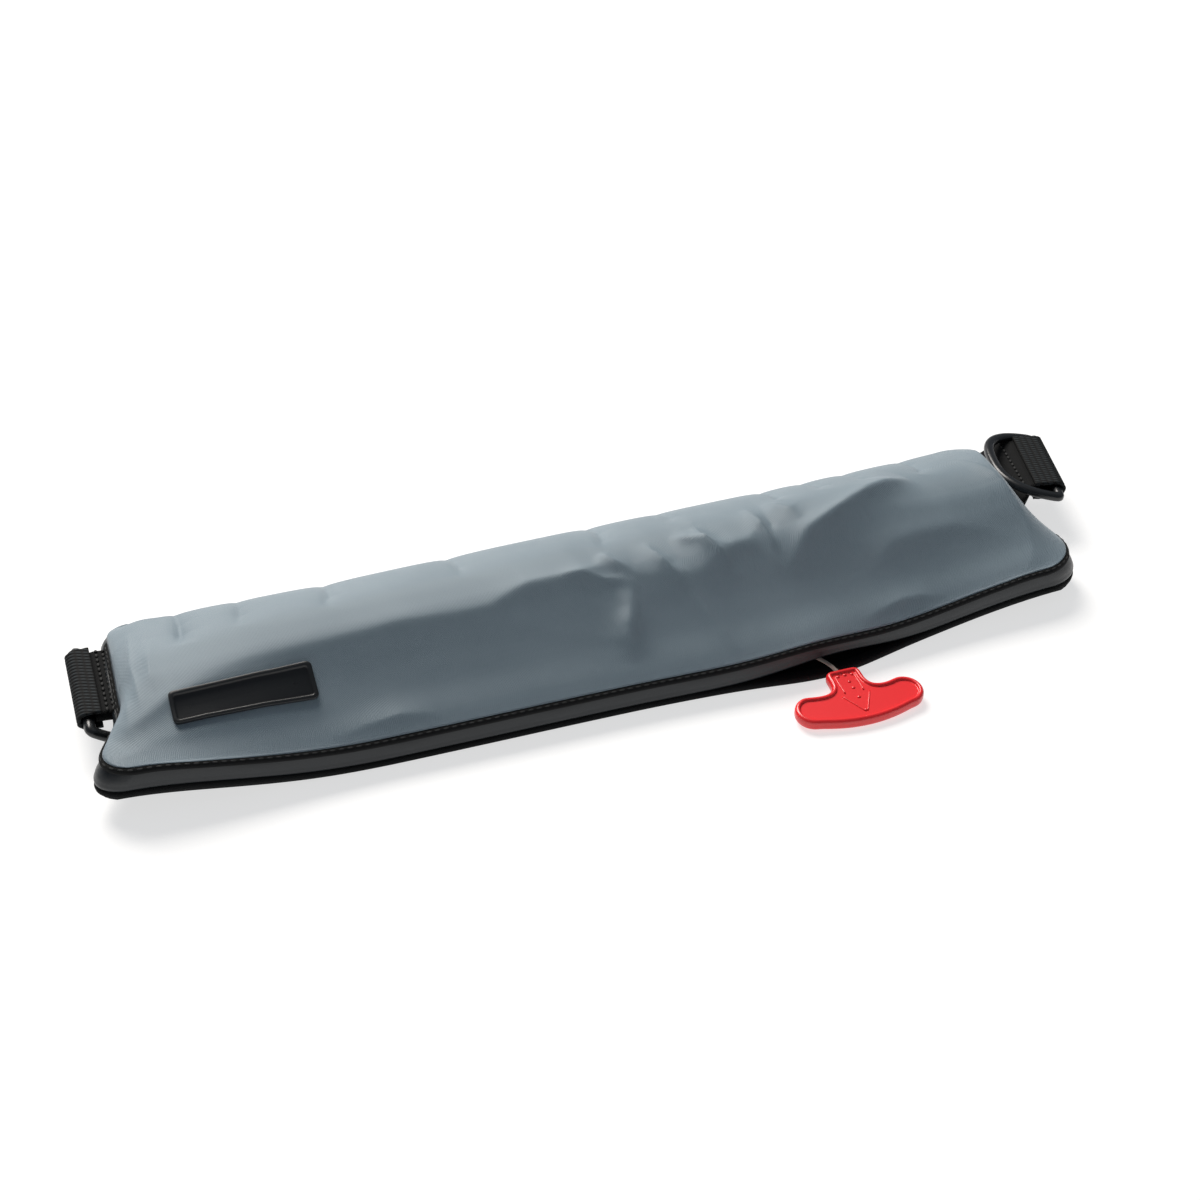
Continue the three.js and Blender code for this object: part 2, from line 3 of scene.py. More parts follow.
import bpy
import numpy as np
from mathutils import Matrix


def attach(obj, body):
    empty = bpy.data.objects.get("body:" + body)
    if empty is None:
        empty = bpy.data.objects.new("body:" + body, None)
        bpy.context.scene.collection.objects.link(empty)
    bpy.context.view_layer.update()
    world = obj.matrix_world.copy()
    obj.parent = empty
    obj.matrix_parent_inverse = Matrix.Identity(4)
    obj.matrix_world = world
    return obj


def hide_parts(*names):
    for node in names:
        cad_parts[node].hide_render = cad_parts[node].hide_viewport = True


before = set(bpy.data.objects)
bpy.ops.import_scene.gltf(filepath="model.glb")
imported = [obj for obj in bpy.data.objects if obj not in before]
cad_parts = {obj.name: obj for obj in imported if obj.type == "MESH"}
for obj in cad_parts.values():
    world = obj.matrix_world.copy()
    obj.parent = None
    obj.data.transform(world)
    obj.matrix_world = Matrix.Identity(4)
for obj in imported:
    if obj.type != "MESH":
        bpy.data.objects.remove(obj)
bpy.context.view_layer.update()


# Camera: same angle, distance and lens as the photo, in millimetres from the shared frame's origin
view = {"look": (0.737, 27.53, 0.0), "turn": 21.5, "height": 34.5, "distance": 850.0, "lens": 66.0}


def makeCamera(values):
    # position = look + distance * (-sin(turn) cos(height), -cos(turn) cos(height), sin(height))
    turn = math.radians(values["turn"])
    height = math.radians(values["height"])
    level = math.cos(height)
    away = np.array([-math.sin(turn) * level, -math.cos(turn) * level, math.sin(height)])
    data = bpy.data.cameras.new("camera")
    data.sensor_width = 36.0
    data.lens = values["lens"]
    data.clip_start = 0.05
    data.clip_end = 20.0
    camera = bpy.data.objects.new("camera", data)
    bpy.context.scene.collection.objects.link(camera)
    camera.location = (np.array(values["look"]) + values["distance"] * away) * 0.001
    camera.rotation_euler = (math.radians(90.0) - height, 0.0, -turn)
    bpy.context.scene.camera = camera
    return camera


camera = makeCamera(view)

# Layout: millimetres from the middle of the closing edge's chord, moved by this into the shared frame
shift = np.array([-13.262537, -38.471796, 0.0])

# The pouch, in millimetres and degrees. A pair is for its left and its right end.
pouch = {
    "length": 387.0, "width": 86.0, "crown": 43.5,
    "frontCorner": (13.0, 20.0), "backCorner": 8.0, "bow": 9.0,
    "slant": (5.0, 5.0), "pinch": (12.0, 3.0), "pinchLength": 40.0,
    "roll": (17.0, 20.0), "rollEase": (0.0, 0.4),  # how far the ends take to come down
    "slack": (4.0, 1.6), "slackAt": (-168.0, 160.0), "slackSpread": (36.0, 30.0),  # the crown's own sag
    "lift": (9.0, 5.0), "flatShare": 0.45, "curl": (6.0, 1.0), "curlLength": 24.0, "droop": 0.3,
    "drawn": (4.2, 4.6), "drawnRun": 30.0, "drawnEase": 0.35,  # the ends drawn in over the band's foot
    "seam": 13.0, "backSeam": 8.0, "tabSeam": 8.1,  # heights of the seam above the panel
    "piping": 2.8, "seamGap": 0.3, "bandThickness": 1.4, "bandSetback": 0.5, "binding": 3.2,
    "mouthSag": 4.2, "mouthRise": 3.8, "mouthSeamRise": 2.2, "mouthHalf": 26.0, "mouthAt": 76.5,
    "broadShare": 1.25, "crispShare": 0.45, "crispReach": 0.28,  # the two parts of every fold's shape
    "weltStop": 9.0, "weltEase": 3.0,  # where the welt ends before the back edge
}
half = pouch["length"] / 2

# share of the half length, bow of the closing edge, height of the crown
stations = np.array([
    [-1.0, -0.3, 0.8], [-0.75, 0.08, 0.955], [-0.4, 0.36, 0.98], [0.0, 0.62, 1.0],
    [0.3, 0.95, 1.0], [0.5, 0.75, 0.99], [0.75, 0.25, 0.97], [1.0, 0.0, 0.94],
])

# share of the width from the closing edge, share of the height above the seam
crossSection = np.array([
    [0.0, 0.0], [0.05, 0.13], [0.13, 0.3], [0.2, 0.48], [0.28, 0.7], [0.37, 0.89],
    [0.5, 1.0], [0.66, 0.89], [0.82, 0.62], [0.93, 0.34], [1.0, 0.0],
])


def through(xs, ys, at):
    # cubic pieces with averaged slopes: h00 y0 + h10 span m0 + h01 y1 + h11 span m1
    t = np.clip(at, xs[0], xs[-1])
    i = np.clip(np.searchsorted(xs, t, side="left") - 1, 0, len(xs) - 2)
    slopes = np.empty(len(xs))
    slopes[0] = (ys[1] - ys[0]) / (xs[1] - xs[0])
    slopes[-1] = (ys[-1] - ys[-2]) / (xs[-1] - xs[-2])
    slopes[1:-1] = (ys[2:] - ys[:-2]) / (xs[2:] - xs[:-2])
    span = xs[i + 1] - xs[i]
    s = (t - xs[i]) / span
    return ((2 * s**3 - 3 * s**2 + 1) * ys[i] + (s**3 - 2 * s**2 + s) * span * slopes[i]
            + (3 * s**2 - 2 * s**3) * ys[i + 1] + (s**3 - s**2) * span * slopes[i + 1])


def smooth(t):
    # 3 t^2 - 2 t^3 between 0 and 1
    c = np.clip(t, 0.0, 1.0)
    return c * c * (3 - 2 * c)


def bell(distance, spread):
    # exp(-(distance / spread)^2)
    return np.exp(-((distance / spread) ** 2))


def bySide(p, pair):
    # the left value where p < 0, else the right one
    return np.where(np.asarray(p) < 0, pair[0], pair[1])


def arcSetback(distance, radius):
    # r (1 - sqrt(1 - (1 - d / r)^2)): how far a rounded corner's edge stands back
    reach = np.clip(1 - distance / radius, 0.0, 1.0)
    return radius * (1 - np.sqrt(1 - reach * reach))


def reachAt(p, fromFront):
    # half length less the end's slant, pinch and rounded corners at this distance from the front
    corners = arcSetback(fromFront, bySide(p, pouch["frontCorner"]))
    corners = corners + arcSetback(pouch["width"] - fromFront, pouch["backCorner"])
    pinch = bySide(p, pouch["pinch"]) * smooth(fromFront / pouch["pinchLength"])
    return half - np.tan(np.radians(bySide(p, pouch["slant"]))) * fromFront - pinch - corners


def plan(p, q):
    # x = p reach(q), y = -bow(x) + q (width + bow)
    x = p * reachAt(p, q * pouch["width"])
    bow = pouch["bow"] * through(stations[:, 0], stations[:, 1], x / half)
    return x, -bow + q * (pouch["width"] + bow)


def lift(p, q):
    # ends rise with a smooth power and curl up under the belt loops
    size = np.abs(p)
    broad = smooth((size - pouch["flatShare"]) / (1 - pouch["flatShare"])) ** 1.5
    ramp = np.maximum(1 - (1 - size) * half / pouch["curlLength"], 0.0)
    curl = bySide(p, pouch["curl"]) * (0.6 * ramp + 0.4 * ramp * ramp)
    pulled = np.clip((q - 0.28) / 0.43, 0.0, 1.0) - pouch["droop"] * smooth((q - 0.72) / 0.28)
    return bySide(p, pouch["lift"]) * broad + curl * pulled


def drawnIn(p, q):
    # how far the seam stands inside the band's foot at both ends, less beside the belt loops
    onEnd = smooth((np.abs(p) - 1 + pouch["drawnRun"] / half) / (pouch["drawnRun"] / half))
    return bySide(p, pouch["drawn"]) * onEnd * (1 - pouch["drawnEase"] * smooth((q - 0.3) / 0.2))


def atMouth(x):
    # bell centred where the cord comes out
    return bell(x - pouch["mouthAt"], pouch["mouthHalf"])


def seamAbovePanel(p, q):
    # seam height, lower along the back and over the tabs, a little higher at the mouth
    base = pouch["seam"] + (pouch["backSeam"] - pouch["seam"]) * smooth((q - 0.86) / 0.14)
    onEnd = smooth((np.abs(p) - 0.9) / 0.1)
    overTab = smooth((q - 0.22) / 0.24)
    gape = pouch["mouthSeamRise"] * atMouth(p * half) * np.maximum(1 - q / 0.2, 0.0)
    return base + gape + (pouch["tabSeam"] - base) * onEnd * overTab


def unit(v):
    # each vector over its own length: v / |v|
    return v / np.linalg.norm(v, axis=-1, keepdims=True)


def normalOf(u, v):
    # unit normal of two directions: u x v / |u x v|
    return unit(np.cross(u, v))


def runOf(points):
    # running length along a line of points
    return np.concatenate([[0.0], np.cumsum(np.linalg.norm(np.diff(points, axis=0), axis=1))])


def alongRun(points, run, at):
    # the line's points at these running lengths, each column read between its neighbours
    return np.stack([np.interp(at, run, points[:, k]) for k in range(points.shape[1])], axis=-1)


def evenly(loop, count):
    # a closed line with its points evenly spaced
    closed = np.concatenate([loop, loop[:1]])
    run = runOf(closed)
    return alongRun(closed, run, np.linspace(0, run[-1], count, endpoint=False))


def softened(line, times):
    # closed line, each point moved to a quarter, a half and a quarter of itself and its neighbours
    for _ in range(times):
        line = 0.25 * np.roll(line, 1, axis=0) + 0.5 * line + 0.25 * np.roll(line, -1, axis=0)
    return line


# Folds of the cover: points of x, distance from the front and height, all in millimetres from the
# pouch's middle, then how far the fold reaches on its left and right hand, and how round its top is.
folds = [
    # the long ridge between the lit top and the front
    ([[-158, 26, 0], [-130, 27.4, 0.9], [-108, 26.9, 1.9], [-95, 27.1, 2.2], [-78, 27.4, 2.6],
      [-56, 26.4, 2.5], [-44, 26.2, 2.7], [-36, 28.4, 2.7], [-29, 29.8, 3.0], [-17, 29.8, 2.9],
      [-7, 30.4, 2.4], [-1, 32.0, 1.4], [5, 31.0, 1.0], [11, 27.5, 1.4], [17, 26.5, 1.6],
      [28, 24.6, 1.7], [35.6, 24.8, 2.2], [43.8, 27.6, 2.6], [50.8, 29.6, 2.8], [57.3, 30.0, 2.4],
      [61.0, 26.6, 1.4], [65.5, 22.6, 1.1], [69.0, 22.2, 1.4], [74.0, 25.0, 2.6], [79.9, 28.4, 3.8],
      [90.7, 31.4, 4.4], [99.7, 33.8, 4.6], [109.3, 36.5, 4.3], [118.7, 39.3, 3.2],
      [124.3, 40.6, 2.0], [132, 43.3, 0]], 11.0, 7.0, 1.3),
    # crumples across the middle
    ([[0, 37, 0], [2.2, 34.4, 1.3], [5.0, 31.6, 1.5], [9.4, 28.3, 0]], 3.0, 2.4, 0.4),
    ([[8.2, 27.0, 0.4], [7.4, 23.0, 1.6], [5.6, 18.0, 4.4], [3.6, 14.0, 7.4], [2.0, 11.0, 7.6],
      [1.0, 8.0, 3.0], [0.6, 5.5, 0]], 3.6, 5.2, 2.6),
    # swellings along the seam and at the left front
    ([[-180, 8, 0], [-166, 9.5, 2.0], [-150, 10.5, 3.8], [-130, 11, 4.0], [-96, 11, 0]], 9.0, 3.6, 2.5),
    ([[29.0, 38.6, 0], [33.4, 36.2, 1.2], [38.9, 33.2, 1.5], [44.7, 30.4, 0.6], [49, 29, 0]], 3.4, 3.0, 0.5),
    ([[26.6, 29, 0], [28.4, 25.0, 0.9], [30.6, 20.0, 2.0], [33.2, 14.5, 3.0], [36.2, 8.3, 3.2],
      [38.4, 2.0, 0.8]], 4.0, 3.4, 0.6),
    ([[44, 22, 0], [48, 15, 0.6], [50, 8, 0.7], [52, 3, 0]], 5.0, 5.0, 1.5),
    ([[17.7, 39, 0], [20.3, 32.4, 1.5], [22.4, 28.8, 2.2], [25.4, 24.6, 1.4], [28, 20, 0]], 2.6, 3.4, 0.3),
    ([[38.0, 41, 0], [39.4, 35.4, 1.3], [41.0, 31.0, 1.9], [45.4, 25.6, 1.8], [49, 20, 0]], 2.4, 3.4, 0.3),
    ([[61.2, 46, 0], [62.4, 40, 1.2], [63.6, 34.8, 1.9], [65.6, 29, 1.7], [69, 23, 0]], 2.6, 3.4, 0.3),
    ([[-16.9, 31, 0], [-8.6, 29.4, 1.4], [-1.0, 27.2, 1.8], [6.0, 26.4, 1.2], [11, 24, 0]], 3.0, 2.4, 0.4),
    ([[70, 47, 0], [73.5, 43, 0.9], [77.0, 38.6, 1.1], [80, 33.6, 0]], 5.0, 4.0, 0.8),
    ([[98, 14, 0], [104, 18.0, 1.6], [112, 20, 3.0], [123, 20.5, 3.0], [140, 20.7, 2.0], [154, 18, 1.0],
      [163, 14, 0]], 9.0, 6.0, 1.6),
    ([[-114, 1.5, 0], [-98, 3.4, 5.0], [-86, 4.2, 7.0], [-77, 3.6, 4.0], [-70, 2, 0]], 3.4, 2.4, 0.6),
    ([[88, 1.5, 0], [97, 3.4, 5.0], [108, 4.6, 7.5], [117, 4.2, 6.0], [128, 2.0, 0]], 3.8, 2.6, 0.6),
    # gathers beside the left belt loop
    ([[-176, 68, 0], [-176.3, 56, 1.3], [-176.8, 40, 1.5], [-178.6, 24, 1.2], [-179.5, 14, 0]],
     3.0, 2.2, 0.5),
    ([[-168, 66, 0], [-170.4, 52, 1.0], [-172.6, 38, 1.3], [-173.4, 28, 0.8], [-172, 20, 0]], 2.8, 2.4, 0.5),
    ([[-160, 54, 0], [-164, 42, 0.6], [-166, 32, 0.6], [-165, 24, 0]], 4.0, 4.0, 1.2),
    ([[-184, 12, 0], [-180, 14.8, 1.8], [-172, 17.0, 2.4], [-165, 19.4, 2.3], [-160, 21.6, 2.0],
      [-150, 23.4, 1.3], [-138, 24.4, 0.7], [-124, 25, 0]], 10.0, 6.0, 2.2),
    ([[-187, 3, 0], [-182.5, 5, 0.9], [-176, 6, 0.7], [-168, 6, 0]], 3.0, 3.0, 0.8),
    ([[-96, 12, 0], [-70, 16, 0.7], [-40, 14, 0.9], [-14, 9, 0.4], [0, 6, 0]], 7.0, 8.0, 2.5),
    ([[-60, 20, 0], [-34, 20.5, 0.6], [-16, 15, 0.8], [0, 8, 0]], 5.0, 6.0, 2.0),
    ([[150, 60, 0], [160, 48, 0.8], [167, 36, 1.0], [172, 24, 0.6], [176, 14, 0]], 6.0, 5.0, 1.5),
    # pinches that scallop the back edge
    ([[-152, 42, 0], [-149.5, 52, -1.9], [-148, 62, -2.2], [-147, 80, -1.0]], 3.6, 5.7, 0.5),
    ([[-131, 42, 0], [-128, 52, -1.3], [-126, 62, -1.6], [-124, 80, -0.6]], 3.2, 5.7, 0.5),
    ([[-100, 40, 0], [-96, 51, -1.7], [-94, 62, -2.0], [-92, 80, -0.8]], 3.6, 6.2, 0.5),
    ([[-50, 40, 0], [-47.5, 51, -1.3], [-46, 62, -1.7], [-45, 80, -0.8]], 3.6, 5.7, 0.5),
    ([[3, 40, 0], [6.5, 48, -1.4], [9, 58, -2.0], [11, 80, -0.8]], 3.2, 5.2, 0.3),
    ([[33, 47, 0], [37, 56, -1.0], [40, 80, -0.6]], 4.0, 5.7, 0.5),
    ([[76, 47, 0], [80, 54, -1.6], [82, 64, -2.0], [84, 80, -0.8]], 3.2, 5.2, 0.3),
    ([[95, 47, 0], [98, 54, -1.3], [100, 64, -1.7], [101, 80, -0.6]], 3.2, 4.8, 0.3),
    ([[112, 46, 0], [116, 52, -1.4], [118, 62, -1.7], [120, 80, -0.6]], 3.2, 5.2, 0.4),
    ([[138, 46, 0], [142, 53, -1.4], [144, 64, -1.7], [146, 80, -0.6]], 3.6, 5.7, 0.4),
]


def foldHeight(x, across):
    # with d the distance to the nearest piece of the line and D = sqrt(d^2 + round^2) - round, the
    # sum of height (broad exp(-D / reach) + crisp exp(-D / (crispReach reach)))
    total = np.zeros(np.broadcast(x, across).shape)
    for line, leftReach, rightReach, roundness in folds:
        nearest = np.full(total.shape, 1e9)
        raised = np.zeros(total.shape)
        reach = np.ones(total.shape)
        for (x1, y1, high1), (x2, y2, high2) in zip(line[:-1], line[1:]):
            runX, runY = x2 - x1, y2 - y1
            t = np.clip(((x - x1) * runX + (across - y1) * runY) / (runX**2 + runY**2), 0.0, 1.0)
            awayX, awayY = x - x1 - t * runX, across - y1 - t * runY
            away = np.hypot(awayX, awayY)
            closer = away < nearest
            onLeft = runX * awayY - runY * awayX > 0
            nearest = np.where(closer, away, nearest)
            raised = np.where(closer, high1 + t * (high2 - high1), raised)
            reach = np.where(closer, np.where(onLeft, leftReach, rightReach), reach)
        beyond = (np.sqrt(nearest**2 + roundness**2) - roundness) / reach
        crisp = pouch["crispShare"] * np.exp(-beyond / pouch["crispReach"])
        total += raised * (pouch["broadShare"] * np.exp(-beyond) + crisp)
    return total


def coverSurface(p, q):
    # z = seam + (crown(x) - seam + folds) section(q) end(p), where the left end comes down as
    # sqrt(1 - i^2.4) and the right one as (1 - i^1.3)^0.9 of i, the share of the way into the roll
    x, y = plan(p, q)
    seam = lift(p, q) + seamAbovePanel(p, q)
    crown = pouch["crown"] * through(stations[:, 0], stations[:, 2], x / half)
    for deep, middle, wide in zip(pouch["slack"], pouch["slackAt"], pouch["slackSpread"]):
        crown = crown - deep * bell(x - middle, wide)
    section = np.maximum(through(crossSection[:, 0], crossSection[:, 1], q), 0.0)
    rollLength = bySide(p, pouch["roll"]) * (1 - bySide(p, pouch["rollEase"]) * smooth((q - 0.45) / 0.3))
    rollShare = rollLength / half
    intoEnd = np.maximum((np.abs(p) - 1 + rollShare) / rollShare, 0.0)
    leftEnd = np.sqrt(np.maximum(1 - intoEnd**2.4, 0.0))
    rightEnd = np.maximum(1 - intoEnd**1.3, 0.0) ** 0.9
    end = np.where(p < 0, leftEnd, rightEnd)
    rise = np.maximum(crown - seam, 0.0) + foldHeight(x, q * pouch["width"])
    return np.stack([x - np.sign(p) * drawnIn(p, q), y + 0 * x, seam + rise * section * end], axis=-1)


def gridFaces(rows, columns, wrapRows=False, wrapColumns=False):
    # quads (i, j) (i + 1, j) (i + 1, j + 1) (i, j + 1) of a grid, with wrapped seams if asked
    i = np.arange(rows if wrapRows else rows - 1)
    j = np.arange(columns if wrapColumns else columns - 1)
    i, j = np.meshgrid(i, j, indexing="ij")
    nextI = (i + 1) % rows
    nextJ = (j + 1) % columns
    corners = [i * columns + j, nextI * columns + j, nextI * columns + nextJ, i * columns + nextJ]
    return np.stack(corners, axis=-1).reshape(-1, 4)


def sheetFaces(rows, columns, flipped=False):
    # two grids, one above the other, with a wall round their border
    faces = gridFaces(rows, columns)
    count = rows * columns
    rim = np.concatenate([
        np.arange(columns), np.arange(1, rows) * columns + columns - 1,
        (rows - 1) * columns + np.arange(columns - 2, -1, -1), np.arange(rows - 2, 0, -1) * columns,
    ])
    following = np.roll(rim, -1)
    wall = np.stack([rim, following, following + count, rim + count], axis=-1)
    every = np.concatenate([faces, faces[:, ::-1] + count, wall])
    return (every[:, ::-1] if flipped else every).tolist()


def stacked(upper, lower):
    # the rows of two grids in one list, the upper grid's first
    return np.concatenate([upper.reshape(-1, upper.shape[-1]), lower.reshape(-1, lower.shape[-1])])


def makeObject(name, points, faces, material, body, uv=None, nodes=()):
    # mesh from whole arrays; points in layout millimetres, shifted into the shared frame in metres
    verts = (np.asarray(points, dtype=float).reshape(-1, 3) + shift) * 0.001
    mesh = bpy.data.meshes.new(name)
    mesh.from_pydata(verts.tolist(), [], [list(face) for face in faces])
    mesh.polygons.foreach_set("use_smooth", np.ones(len(mesh.polygons), dtype=bool))
    if uv is not None:
        corner = np.empty(len(mesh.loops), dtype=np.int32)
        mesh.loops.foreach_get("vertex_index", corner)
        layer = mesh.uv_layers.new(name="cloth")
        layer.data.foreach_set("uv", (np.asarray(uv).reshape(-1, 2)[corner] * 0.001).ravel())
    mesh.update()
    made = bpy.data.objects.new(name, mesh)
    bpy.context.scene.collection.objects.link(made)
    made.data.materials.append(material)
    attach(made, body)
    if nodes:
        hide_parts(*nodes)
    return made


def tube(path, radius, sides):
    # rings of this radius about a path: centre + r (cos a side + sin a up)
    tangent = unit(np.gradient(path, axis=0))
    side = normalOf(tangent, [0.0, 0.0, 1.0])
    up = np.cross(side, tangent)
    angle = np.linspace(0, 2 * math.pi, sides, endpoint=False)
    ring = np.cos(angle)[None, :, None] * side[:, None, :] + np.sin(angle)[None, :, None] * up[:, None, :]
    return path[:, None, :] + radius * ring


def capped(rings):
    # a tube with each end ring drawn together to its middle
    first = np.repeat(rings[:1].mean(axis=1, keepdims=True), rings.shape[1], axis=1)
    last = np.repeat(rings[-1:].mean(axis=1, keepdims=True), rings.shape[1], axis=1)
    return np.concatenate([first, rings, last])


def beadRow(centres, along, up, size):
    # small lying ellipsoids, one a stitch: centre + l cos a along + w sin a cos b side + h sin a sin b up
    length, width, height = size
    along = unit(along)
    side = normalOf(up, along)
    up = np.cross(along, side)
    a = np.linspace(0.12, math.pi - 0.12, 6)
    b = np.linspace(0, 2 * math.pi, 6, endpoint=False)
    ca, sa = np.cos(a)[None, :, None, None], np.sin(a)[None, :, None, None]
    cb, sb = np.cos(b)[None, None, :, None], np.sin(b)[None, None, :, None]
    points = (centres[:, None, None] + length / 2 * ca * along[:, None, None]
              + width / 2 * sa * cb * side[:, None, None] + height / 2 * sa * sb * up[:, None, None])
    one = gridFaces(6, 6, wrapColumns=True)
    ends = [np.arange(6), np.arange(35, 29, -1)]
    faces = []
    for first in range(0, 36 * len(centres), 36):
        faces.extend((one + first).tolist())
        faces.extend((end + first).tolist() for end in ends)
    return points.reshape(-1, 3), faces


def merge(parts):
    # joins (points, faces) pairs into one
    points, faces, start = [], [], 0
    for part, some in parts:
        part = np.asarray(part).reshape(-1, 3)
        points.append(part)
        faces.extend([[int(v) + start for v in face] for face in some])
        start += len(part)
    return np.concatenate(points), faces


# Belt ends: millimetres and degrees. Each loop has its bar along its own Y.
loopValues = {"width": 36.0, "thickness": 1.8, "bar": 4.0, "clearance": 0.4, "ribPitch": 1.7,
              "ribDepth": 0.42, "ribLean": 0.45, "columnPitch": 2.5, "step": 0.3, "columns": 190}
endValues = {
    "left": {"length": 9.0, "fromFront": 59.0, "reach": 8.5, "turn": 4.0, "tilt": 4.5, "rise": 0.0,
             "ring": -37.0, "slide": 1.1},
    "right": {"length": 13.0, "fromFront": 65.5, "reach": 23.8, "turn": -15.0, "tilt": 1.5, "rise": 10.0,
              "ring": 13.0, "slide": -1.1},
}
tabValues = {"fromFront": (58.0, 61.0), "thickness": 4.2, "narrower": 0.9, "rise": 1.6, "rootRise": 0.9,
             "overlap": 2.2, "level": 1.2, "round": 0.7, "tucked": 3.6, "flare": (1.5, 9.0),
             "flareRun": 1.1, "stitchRows": (0.5, 0.86), "stitchPitch": 2.7, "stitch": (2.0, 1.3, 0.9),
             "stitchRise": 0.12}


# Materials
def colour(code):
    # sRGB hex to linear: c / 12.92 below 0.04045, else ((c + 0.055) / 1.055)^2.4
    parts = [int(code[k:k + 2], 16) / 255 for k in (1, 3, 5)]
    return tuple(c / 12.92 if c <= 0.04045 else ((c + 0.055) / 1.055) ** 2.4 for c in parts) + (1.0,)


def addNode(tree, kind, settings=None, **inputs):
    # one node with its settings, its named inputs set or linked
    node = tree.nodes.new(kind)
    for key, value in (settings or {}).items():
        setattr(node, key, value)
    for key, value in inputs.items():
        spot = int(key[1:]) if key[0] == "n" and key[1:].isdigit() else key.replace("_", " ")
        if isinstance(value, bpy.types.NodeSocket):
            tree.links.new(value, node.inputs[spot])
        else:
            node.inputs[spot].default_value = value
    return node


def startMaterial(name, base, roughness, ior=1.5):
    # a material with its plain numbers set on the shader's own sockets
    material = bpy.data.materials.new(name)
    material.use_nodes = True
    tree = material.node_tree
    shader = tree.nodes["Principled BSDF"]
    shader.inputs["Base Color"].default_value = colour(base)
    shader.inputs["Roughness"].default_value = roughness
    shader.inputs["IOR"].default_value = ior
    return material, tree, shader


def mixedColour(tree, factor, low, high):
    # low (1 - factor) + high factor
    mix = addNode(tree, "ShaderNodeMix", {"data_type": "RGBA"}, n0=factor)
    mix.inputs[6].default_value = colour(low)
    mix.inputs[7].default_value = colour(high)
    return mix.outputs[2]


def math2(tree, operation, a, b):
    # the operation on a and b
    return addNode(tree, "ShaderNodeMath", {"operation": operation}, n0=a, n1=b).outputs[0]


def addBump(tree, shader, place, scale, detail, strength, under=None):
    # fine noise, added to the height given under it, as bumps in the shader's surface
    height = addNode(tree, "ShaderNodeTexNoise", None, Vector=place, Scale=scale, Detail=detail).outputs[0]
    if under is not None:
        height = math2(tree, "ADD", under, height)
    bumped = addNode(tree, "ShaderNodeBump", None, Strength=strength, Distance=0.0002, Height=height)
    tree.links.new(bumped.outputs[0], shader.inputs["Normal"])


def weaveHeight(tree, place, pitch):
    # plain weave: sin(2 pi u / pitch) sin(2 pi v / pitch), in the cloth's own coordinates
    axes = addNode(tree, "ShaderNodeSeparateXYZ", None, Vector=place)
    turns = 2 * math.pi / (pitch * 0.001)
    across = math2(tree, "SINE", math2(tree, "MULTIPLY", axes.outputs[0], turns), 0.0)
    along = math2(tree, "SINE", math2(tree, "MULTIPLY", axes.outputs[1], turns), 0.0)
    return math2(tree, "MULTIPLY", across, along)


def wovenCloth(name, low, high, roughness, pitch, bump, sheen=0.0, coat=0.0, ior=1.5):
    # woven cloth: threads of this pitch in millimetres give a fine grain, drawn about twice as coarse
    # as the real ones so that it shows, and a slow cloud of tone keeps the cloth from looking flat
    material, tree, shader = startMaterial(name, high, roughness, ior)
    place = addNode(tree, "ShaderNodeUVMap", {"uv_map": "cloth"}).outputs[0]
    weave = weaveHeight(tree, place, pitch)
    cloud = addNode(tree, "ShaderNodeTexNoise", None, Vector=place, Scale=22.0, Detail=4.0).outputs[0]
    tone = math2(tree, "ADD", math2(tree, "MULTIPLY", weave, 0.16), math2(tree, "MULTIPLY", cloud, 0.9))
    tree.links.new(mixedColour(tree, tone, low, high), shader.inputs["Base Color"])
    addBump(tree, shader, place, 900.0, 2.0, bump, weave)
    shader.inputs["Sheen Weight"].default_value = sheen
    shader.inputs["Sheen Roughness"].default_value = 0.4
    shader.inputs["Coat Weight"].default_value = coat
    shader.inputs["Coat Roughness"].default_value = 0.45
    return material


def ribbedWebbing(name, grooveShade, rib):
    # polyester webbing woven in rows of short ribs: painted shade blackens the grooves between them and each
    # column's edges, and the rib crowns keep a grey that is partly own colour, partly painted highlight
    material, tree, shader = startMaterial(name, rib, 0.8, 1.35)
    place = addNode(tree, "ShaderNodeUVMap", {"uv_map": "cloth"}).outputs[0]
    axes = addNode(tree, "ShaderNodeSeparateXYZ", None, Vector=place)
    along = math2(tree, "DIVIDE", axes.outputs[0], loopValues["columnPitch"] * 0.001)
    column = math2(tree, "FLOOR", along, 0.0)
    phase = math2(tree, "SUBTRACT", along, column)
    across = math2(tree, "DIVIDE", axes.outputs[1], loopValues["ribPitch"] * 0.001)
    shifted = math2(tree, "ADD", across, math2(tree, "MULTIPLY", column, 0.5))
    shifted = math2(tree, "ADD", shifted, math2(tree, "MULTIPLY", phase, loopValues["ribLean"]))
    # stripe, hump and tone paint shade into the webbing's colour: darkest in the grooves and towards each
    # column's edges, lightest on the rib crowns as painted highlight
    stripe = math2(tree, "ABSOLUTE", math2(tree, "SINE", math2(tree, "MULTIPLY", shifted, math.pi), 0.0), 0.0)
    hump = math2(tree, "SINE", math2(tree, "MULTIPLY", phase, math.pi), 0.0)
    tone = math2(tree, "MULTIPLY", math2(tree, "POWER", stripe, 2.0), hump)
    tree.links.new(mixedColour(tree, tone, grooveShade, rib), shader.inputs["Base Color"])
    addBump(tree, shader, place, 2500.0, 2.0, 0.4)
    return material


def solidPlastic(name, base, roughness, bump, scale, coat=0.0):
    # moulded plastic or rubber: a faint uneven skin
    material, tree, shader = startMaterial(name, base, roughness)
    place = addNode(tree, "ShaderNodeTexCoord").outputs["Object"]
    addBump(tree, shader, place, scale, 3.0, bump)
    shader.inputs["Coat Weight"].default_value = coat
    shader.inputs["Coat Roughness"].default_value = 0.2
    return material


# coated woven nylon: half matt, its light spread wide over the folds, the weave only just showing
greyCloth = wovenCloth("coated woven nylon", "#74848e", "#84949e", 0.46, 0.75, 0.36, sheen=0.1, coat=0.06)
